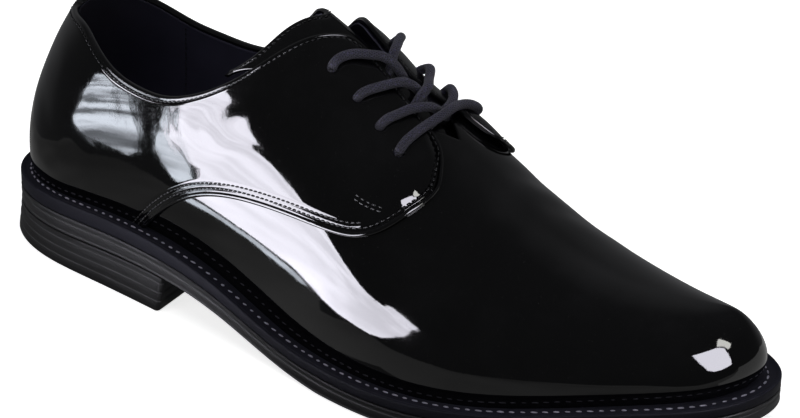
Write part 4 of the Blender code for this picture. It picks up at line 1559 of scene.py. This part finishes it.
# cards over the toe: side angle and height in degrees
TOE_CARD = (
    (33, 49), (50, 50), (60, 49.3), (66, 46), (70.5, 42.5), (72, 38), (75, 30), (77, 22),
    (77, 12), (65, 8.5), (58, 9), (51, 15), (47, 24), (43, 31), (37, 42),
)
UPPER_CARD = (
    (61, 50.3), (63, 58), (65, 61), (70, 55), (76, 49), (81, 42), (79, 38), (75, 37.5),
    (73, 41.5), (70, 45), (66, 48),
)
# grey floor round the shoe, far edge then near edge, and the brighter floor before the toe
FLOOR_CARD = (
    (-140, 300), (-110, 235), (-90, 212), (-75, 202), (-62, 200), (-55, 170), (-47, 130),
    (-40, 118), (-30, 108), (-20, 100), (-10, 92), (-3, 82), (3, 76), (8, 82), (13, 112),
    (20, 108), (26, 112), (32, 124), (38, 140), (44, 152), (47, 170), (50, 240), (56, 262),
    (62, 238), (70, 222), (76, 226), (80, 262), (84, 330), (86, 600),
    (88, 230), (80, 176), (70, 138), (60, 116), (50, 104), (40, 92), (30, 70), (20, 48),
    (0, 40), (-30, 40), (-60, 60), (-80, 95), (-110, 115), (-140, 130),
)
FRONT_CARD = (
    (86.5, 3000), (87.0, 400), (86.0, 262), (83.0, 220), (86.0, 198), (91.0, 190), (98.0, 186),
    (112.0, 190), (125.0, 205), (136.0, 3000),
)
# card far out on the heel's side: side angle and height in degrees, distance in metres
FAR_CARD = (
    (-53.5, 0.0), (-42.7, 0.0), (-42.8, 1.5), (-43.5, 3.0), (-45.2, 5.0), (-47.2, 8.0),
    (-52.0, 9.0), (-53.5, 8.0),
)
FAR_REACH = 3.4


def card(name, places, radiance, colour, mottle=0.0, scale=6.0):
    """Glowing card seen only in the leather's shine."""
    panel = new_object(name, new_mesh(name, places, [], [list(range(len(places)))]))
    glow = Finish(name)
    cloud = glow.noise(glow.place(), scale, 3.0, 0.6).between(0.36, 0.62)
    strength = (cloud * mottle + (1.0 - mottle)) * radiance
    glow.set(Base_Color=(0, 0, 0, 1), Specular_IOR_Level=0.0, Emission_Strength=1.0,
             Emission_Color=glow.blend(strength * 0.01, (0, 0, 0, 1),
                                       tuple(100.0 * c for c in colour) + (1.0,)))
    panel.data.materials.append(glow.material)
    panel.visible_camera = panel.visible_shadow = panel.visible_diffuse = False


def low_card(name, corners, radiance, colour, level=0.0008, **texture):
    """Card just over the floor, from corners by angle and distance."""
    angle, reach = np.radians(column(corners, 0)), np.array(column(corners, 1))
    x = (LOW_CARD_STATION + reach * np.sin(angle) - SHIFT[0]) * MM
    y = (-reach * np.cos(angle) - SHIFT[1]) * MM
    card(name, list(zip(x, y, np.full(len(x), level))), radiance, colour, **texture)


def high_card(name, corners, radiance, colour):
    """Card hung round the toe, from corners by side angle and height."""
    way = ray(*np.radians(np.array(corners, float)).T)
    centre = unit(way.mean(0))
    places = [tuple(np.array(CARD_AIM) + w * CARD_DISTANCE / w.dot(centre)) for w in way]
    card(name, places, radiance, colour)


def far_card(name, corners, radiance, colour):
    """Upright card far out, from corners by side angle and height."""
    side, height = np.radians(np.array(corners)).T
    card(name, list(zip(FAR_REACH * np.sin(side), -FAR_REACH * np.cos(side),
                        0.002 + FAR_REACH * np.tan(height))), radiance, colour)


def add_cove():
    """Pale floor that turns up into a pale backdrop far behind."""
    sides = 96
    rings = [(r, 0.0) for r in (0.5, 1.5, 3.0, 5.0, 6.0)]
    rings += [(6.0 + 2.0 * sin(a), 2.0 - 2.0 * cos(a)) for a in np.linspace(0.2, pi / 2, 8)]
    rings += [(8.0, 6.0)]
    points = [(radius * cos(t), radius * sin(t), height) for radius, height in rings
              for t in np.linspace(0, 2 * pi, sides, endpoint=False)]
    faces = [face[::-1] for face in bands(len(rings), sides)] + [list(range(sides))]
    mesh = new_mesh("studio_cove", points, [], faces)
    mesh.shade_smooth()
    cove = new_object("studio_cove", mesh)
    paper = Finish("studio_paper")
    tone = paper.noise(paper.place(), 3.0, 2.0)
    paper.set(Base_Color=paper.blend(tone, (0.90, 0.90, 0.90, 1), (0.93, 0.93, 0.93, 1)),
              Roughness=0.9, Emission_Color=(1, 1, 1, 1), Emission_Strength=0.78)
    mesh.materials.append(paper.material)
    cove.visible_glossy = cove.visible_diffuse = False


def set_world():
    """Dim room, a little lighter behind the heel and the inner side."""
    world = bpy.data.worlds.new("studio_room")
    bpy.context.scene.world = world
    world.use_nodes = True
    world.node_tree.nodes.clear()
    room = Nodes(world.node_tree)
    guide = room.node("ShaderNodeTexCoord")
    lean = room.node("ShaderNodeVectorMath", {"operation": "DOT_PRODUCT"},
                     {0: guide, 1: (-0.45, 0.88, -0.15)}, out="Value")
    strength = room.node("ShaderNodeMapRange", {"interpolation_type": "SMOOTHSTEP"},
                         {"Value": lean, "From Min": 0.2, "From Max": 0.72,
                          "To Min": 0.047, "To Max": 0.104})
    glow = room.node("ShaderNodeBackground",
                     values={"Color": (0.95, 0.96, 1.0, 1.0), "Strength": strength})
    end = world.node_tree.nodes.new("ShaderNodeOutputWorld")
    room.feed(end, {"Surface": glow})


def build_stage(studio):
    """Camera, pale cove, cards, soft lights and dim room."""
    add_camera()
    add_cove()
    light = studio.highlight
    lilac, sky, white = (0.915, 0.90, 1.0), (0.80, 0.86, 0.96), (1.0, 1.0, 1.0)
    high_card("toe_card", TOE_CARD, light * 0.90, lilac)
    high_card("upper_card", UPPER_CARD, light * 0.66, (1.0, 1.0, 0.96))
    low_card("main_card", MAIN_CARD, light, lilac, mottle=0.25, scale=9.0)
    low_card("edge_card", EDGE_CARD, light * 0.7, sky, mottle=0.5, scale=16.0)
    low_card("near_card", NEAR_CARD, light * 0.6, sky, mottle=0.5, scale=16.0)
    low_card("window_card", WINDOW_CARD, light * 0.8, sky, mottle=0.85, scale=14.0)
    low_card("floor_card", FLOOR_CARD, 0.185, white, level=0.0004, mottle=0.5, scale=7.0)
    low_card("front_card", FRONT_CARD, 0.37, white, level=0.0006)
    far_card("far_card", FAR_CARD, light, lilac)
    add_fill("overhead_fill", 0.0, 88.0, 2.2, 2.4, 2.4, studio.fill)
    add_fill("front_fill", -20.0, 35.0, 2.4, 1.6, 1.2, studio.fill * 0.7)
    add_fill("rear_fill", 160.0, 40.0, 2.4, 1.6, 1.2, studio.fill * 0.5)
    set_world()
    bpy.context.scene.view_settings.view_transform = "Standard"


# ---------------------------------------------------------------- properties
def length(name, description, default):
    return FloatProperty(name=name, description=description, default=default, min=0.0,
                         unit="LENGTH", subtype="DISTANCE", precision=5)


def colour(name, description, default):
    return FloatVectorProperty(name=name, description=description, default=default, size=3,
                               subtype="COLOR", min=0.0, max=1.0)


class ShoeSizes(bpy.types.PropertyGroup):
    """Sizes of the shoe's small work."""
    stitch_pitch: length("Stitch pitch", "Distance between stitches on the upper", 0.0021)
    stitch_length: length("Stitch length", "Length of one stitch on the upper", 0.00165)
    stitch_width: length("Stitch width", "Width of the upper's thread", 0.00062)
    welt_pitch: length("Welt stitch pitch", "Distance between stitches on the welt", 0.0037)
    eyelet_radius: length("Lace hole radius", "Radius of the punched lace holes", 0.0021)
    lace_radius: length("Lace radius", "Half the thickness of the round lace", 0.00171)


class ShoeColours(bpy.types.PropertyGroup):
    """Colours of the shoe's finishes."""
    leather: colour("Leather", "Patent leather of the upper", (0.0030, 0.0030, 0.0034))
    dust: colour("Dust", "Fine specks on the shine", (0.10, 0.10, 0.10))
    lining: colour("Lining", "Lining and sock", (0.0300, 0.0285, 0.0480))
    welt: colour("Welt", "Rubber of the welt", (0.0125, 0.0125, 0.0190))
    sole: colour("Sole", "Rubber of outsole and heel", (0.0205, 0.0205, 0.0215))
    thread: colour("Thread", "Waxed thread of the upper", (0.020, 0.020, 0.022))
    welt_thread: colour("Welt thread", "Thread on the welt", (0.400, 0.385, 0.480))
    lace: colour("Lace", "Waxed cotton lace", (0.0145, 0.0132, 0.0340))


class ShoeStudio(bpy.types.PropertyGroup):
    """Strength of the studio's lights."""
    highlight: FloatProperty(name="Highlight", default=12.5, min=0.0,
                             description="Brightness of the softboxes mirrored in the leather")
    fill: FloatProperty(name="Fill", default=1.5, min=0.0,
                        description="Brightness of the soft fill lights")


# ---------------------------------------------------------------- operators
class SHOE_OT_vamp(bpy.types.Operator):
    """Build the vamp"""
    bl_idname = "shoe.vamp"
    bl_label = "Vamp"

    def execute(self, context):
        settle(build_vamp(), "upper", "upper")
        return {"FINISHED"}


class SHOE_OT_quarters(bpy.types.Operator):
    """Build the quarters and their rolled edge"""
    bl_idname = "shoe.quarters"
    bl_label = "Quarters"

    def execute(self, context):
        settle(build_quarters(context.scene.shoe_sizes), "upper", "upper")
        settle(build_edge_roll(), "upper", "upper")
        return {"FINISHED"}


class SHOE_OT_inside(bpy.types.Operator):
    """Build the lining and the sock"""
    bl_idname = "shoe.inside"
    bl_label = "Lining and sock"

    def execute(self, context):
        settle(build_lining(), "upper", "upper")
        settle(build_sock(), "insole", "insole")
        return {"FINISHED"}


class SHOE_OT_tongue(bpy.types.Operator):
    """Build the tongue"""
    bl_idname = "shoe.tongue"
    bl_label = "Tongue"

    def execute(self, context):
        settle(build_tongue(), "tongue", "tongue")
        return {"FINISHED"}


class SHOE_OT_sole(bpy.types.Operator):
    """Build the welt, outsole and heel"""
    bl_idname = "shoe.sole"
    bl_label = "Welt, outsole and heel"

    def execute(self, context):
        settle(build_welt(), "welt", "welt")
        settle(build_outsole(), "outsole", "outsole")
        settle(build_heel(), "heel", "heel")
        for piece in build_tread():
            settle(piece, "outsole")
        return {"FINISHED"}


class SHOE_OT_stitches(bpy.types.Operator):
    """Sew the upper, the lining and the welt"""
    bl_idname = "shoe.stitches"
    bl_label = "Stitches"

    def execute(self, context):
        sizes = context.scene.shoe_sizes
        settle(build_upper_stitches(sizes), "upper")
        settle(build_lining_stitches(sizes), "upper")
        settle(build_welt_stitches(sizes), "welt")
        return {"FINISHED"}


class SHOE_OT_laces(bpy.types.Operator):
    """Lace the shoe"""
    bl_idname = "shoe.laces"
    bl_label = "Laces"

    def execute(self, context):
        settle(build_laces(context.scene.shoe_sizes), "laces", "laces")
        return {"FINISHED"}


class SHOE_OT_stage(bpy.types.Operator):
    """Set up the studio: camera, floor, backdrop and lights"""
    bl_idname = "shoe.stage"
    bl_label = "Studio"

    def execute(self, context):
        build_stage(context.scene.shoe_studio)
        return {"FINISHED"}


OPERATORS = (SHOE_OT_vamp, SHOE_OT_quarters, SHOE_OT_inside, SHOE_OT_tongue, SHOE_OT_sole,
             SHOE_OT_stitches, SHOE_OT_laces, SHOE_OT_stage)


class SHOE_PT_panel(bpy.types.Panel):
    """Sizes, colours and build steps of the shoe"""
    bl_idname = "SHOE_PT_panel"
    bl_label = "Derby shoe"
    bl_space_type = "VIEW_3D"
    bl_region_type = "UI"
    bl_category = "Shoe"

    def draw(self, context):
        layout = self.layout
        scene = context.scene
        for label, group in (("Sizes", scene.shoe_sizes), ("Colours", scene.shoe_colours),
                             ("Studio", scene.shoe_studio)):
            box = layout.box()
            box.label(text=label)
            for key in group.bl_rna.properties.keys():
                if key not in ("rna_type", "name"):
                    box.prop(group, key)
        for operator in OPERATORS:
            layout.operator(operator.bl_idname)


CLASSES = (ShoeSizes, ShoeColours, ShoeStudio, *OPERATORS, SHOE_PT_panel)


def register():
    for cls in CLASSES:
        bpy.utils.register_class(cls)
    bpy.types.Scene.shoe_sizes = PointerProperty(type=ShoeSizes)
    bpy.types.Scene.shoe_colours = PointerProperty(type=ShoeColours)
    bpy.types.Scene.shoe_studio = PointerProperty(type=ShoeStudio)


def unregister():
    del bpy.types.Scene.shoe_studio
    del bpy.types.Scene.shoe_colours
    del bpy.types.Scene.shoe_sizes
    for cls in reversed(CLASSES):
        bpy.utils.unregister_class(cls)


def main():
    for obj in list(bpy.context.scene.objects):
        if obj.name in ("Cube", "Light", "Camera"):
            bpy.data.objects.remove(obj)
    register()
    for operator in OPERATORS:
        group, _, name = operator.bl_idname.partition(".")
        getattr(getattr(bpy.ops, group), name)()


if __name__ == "__main__":
    main()
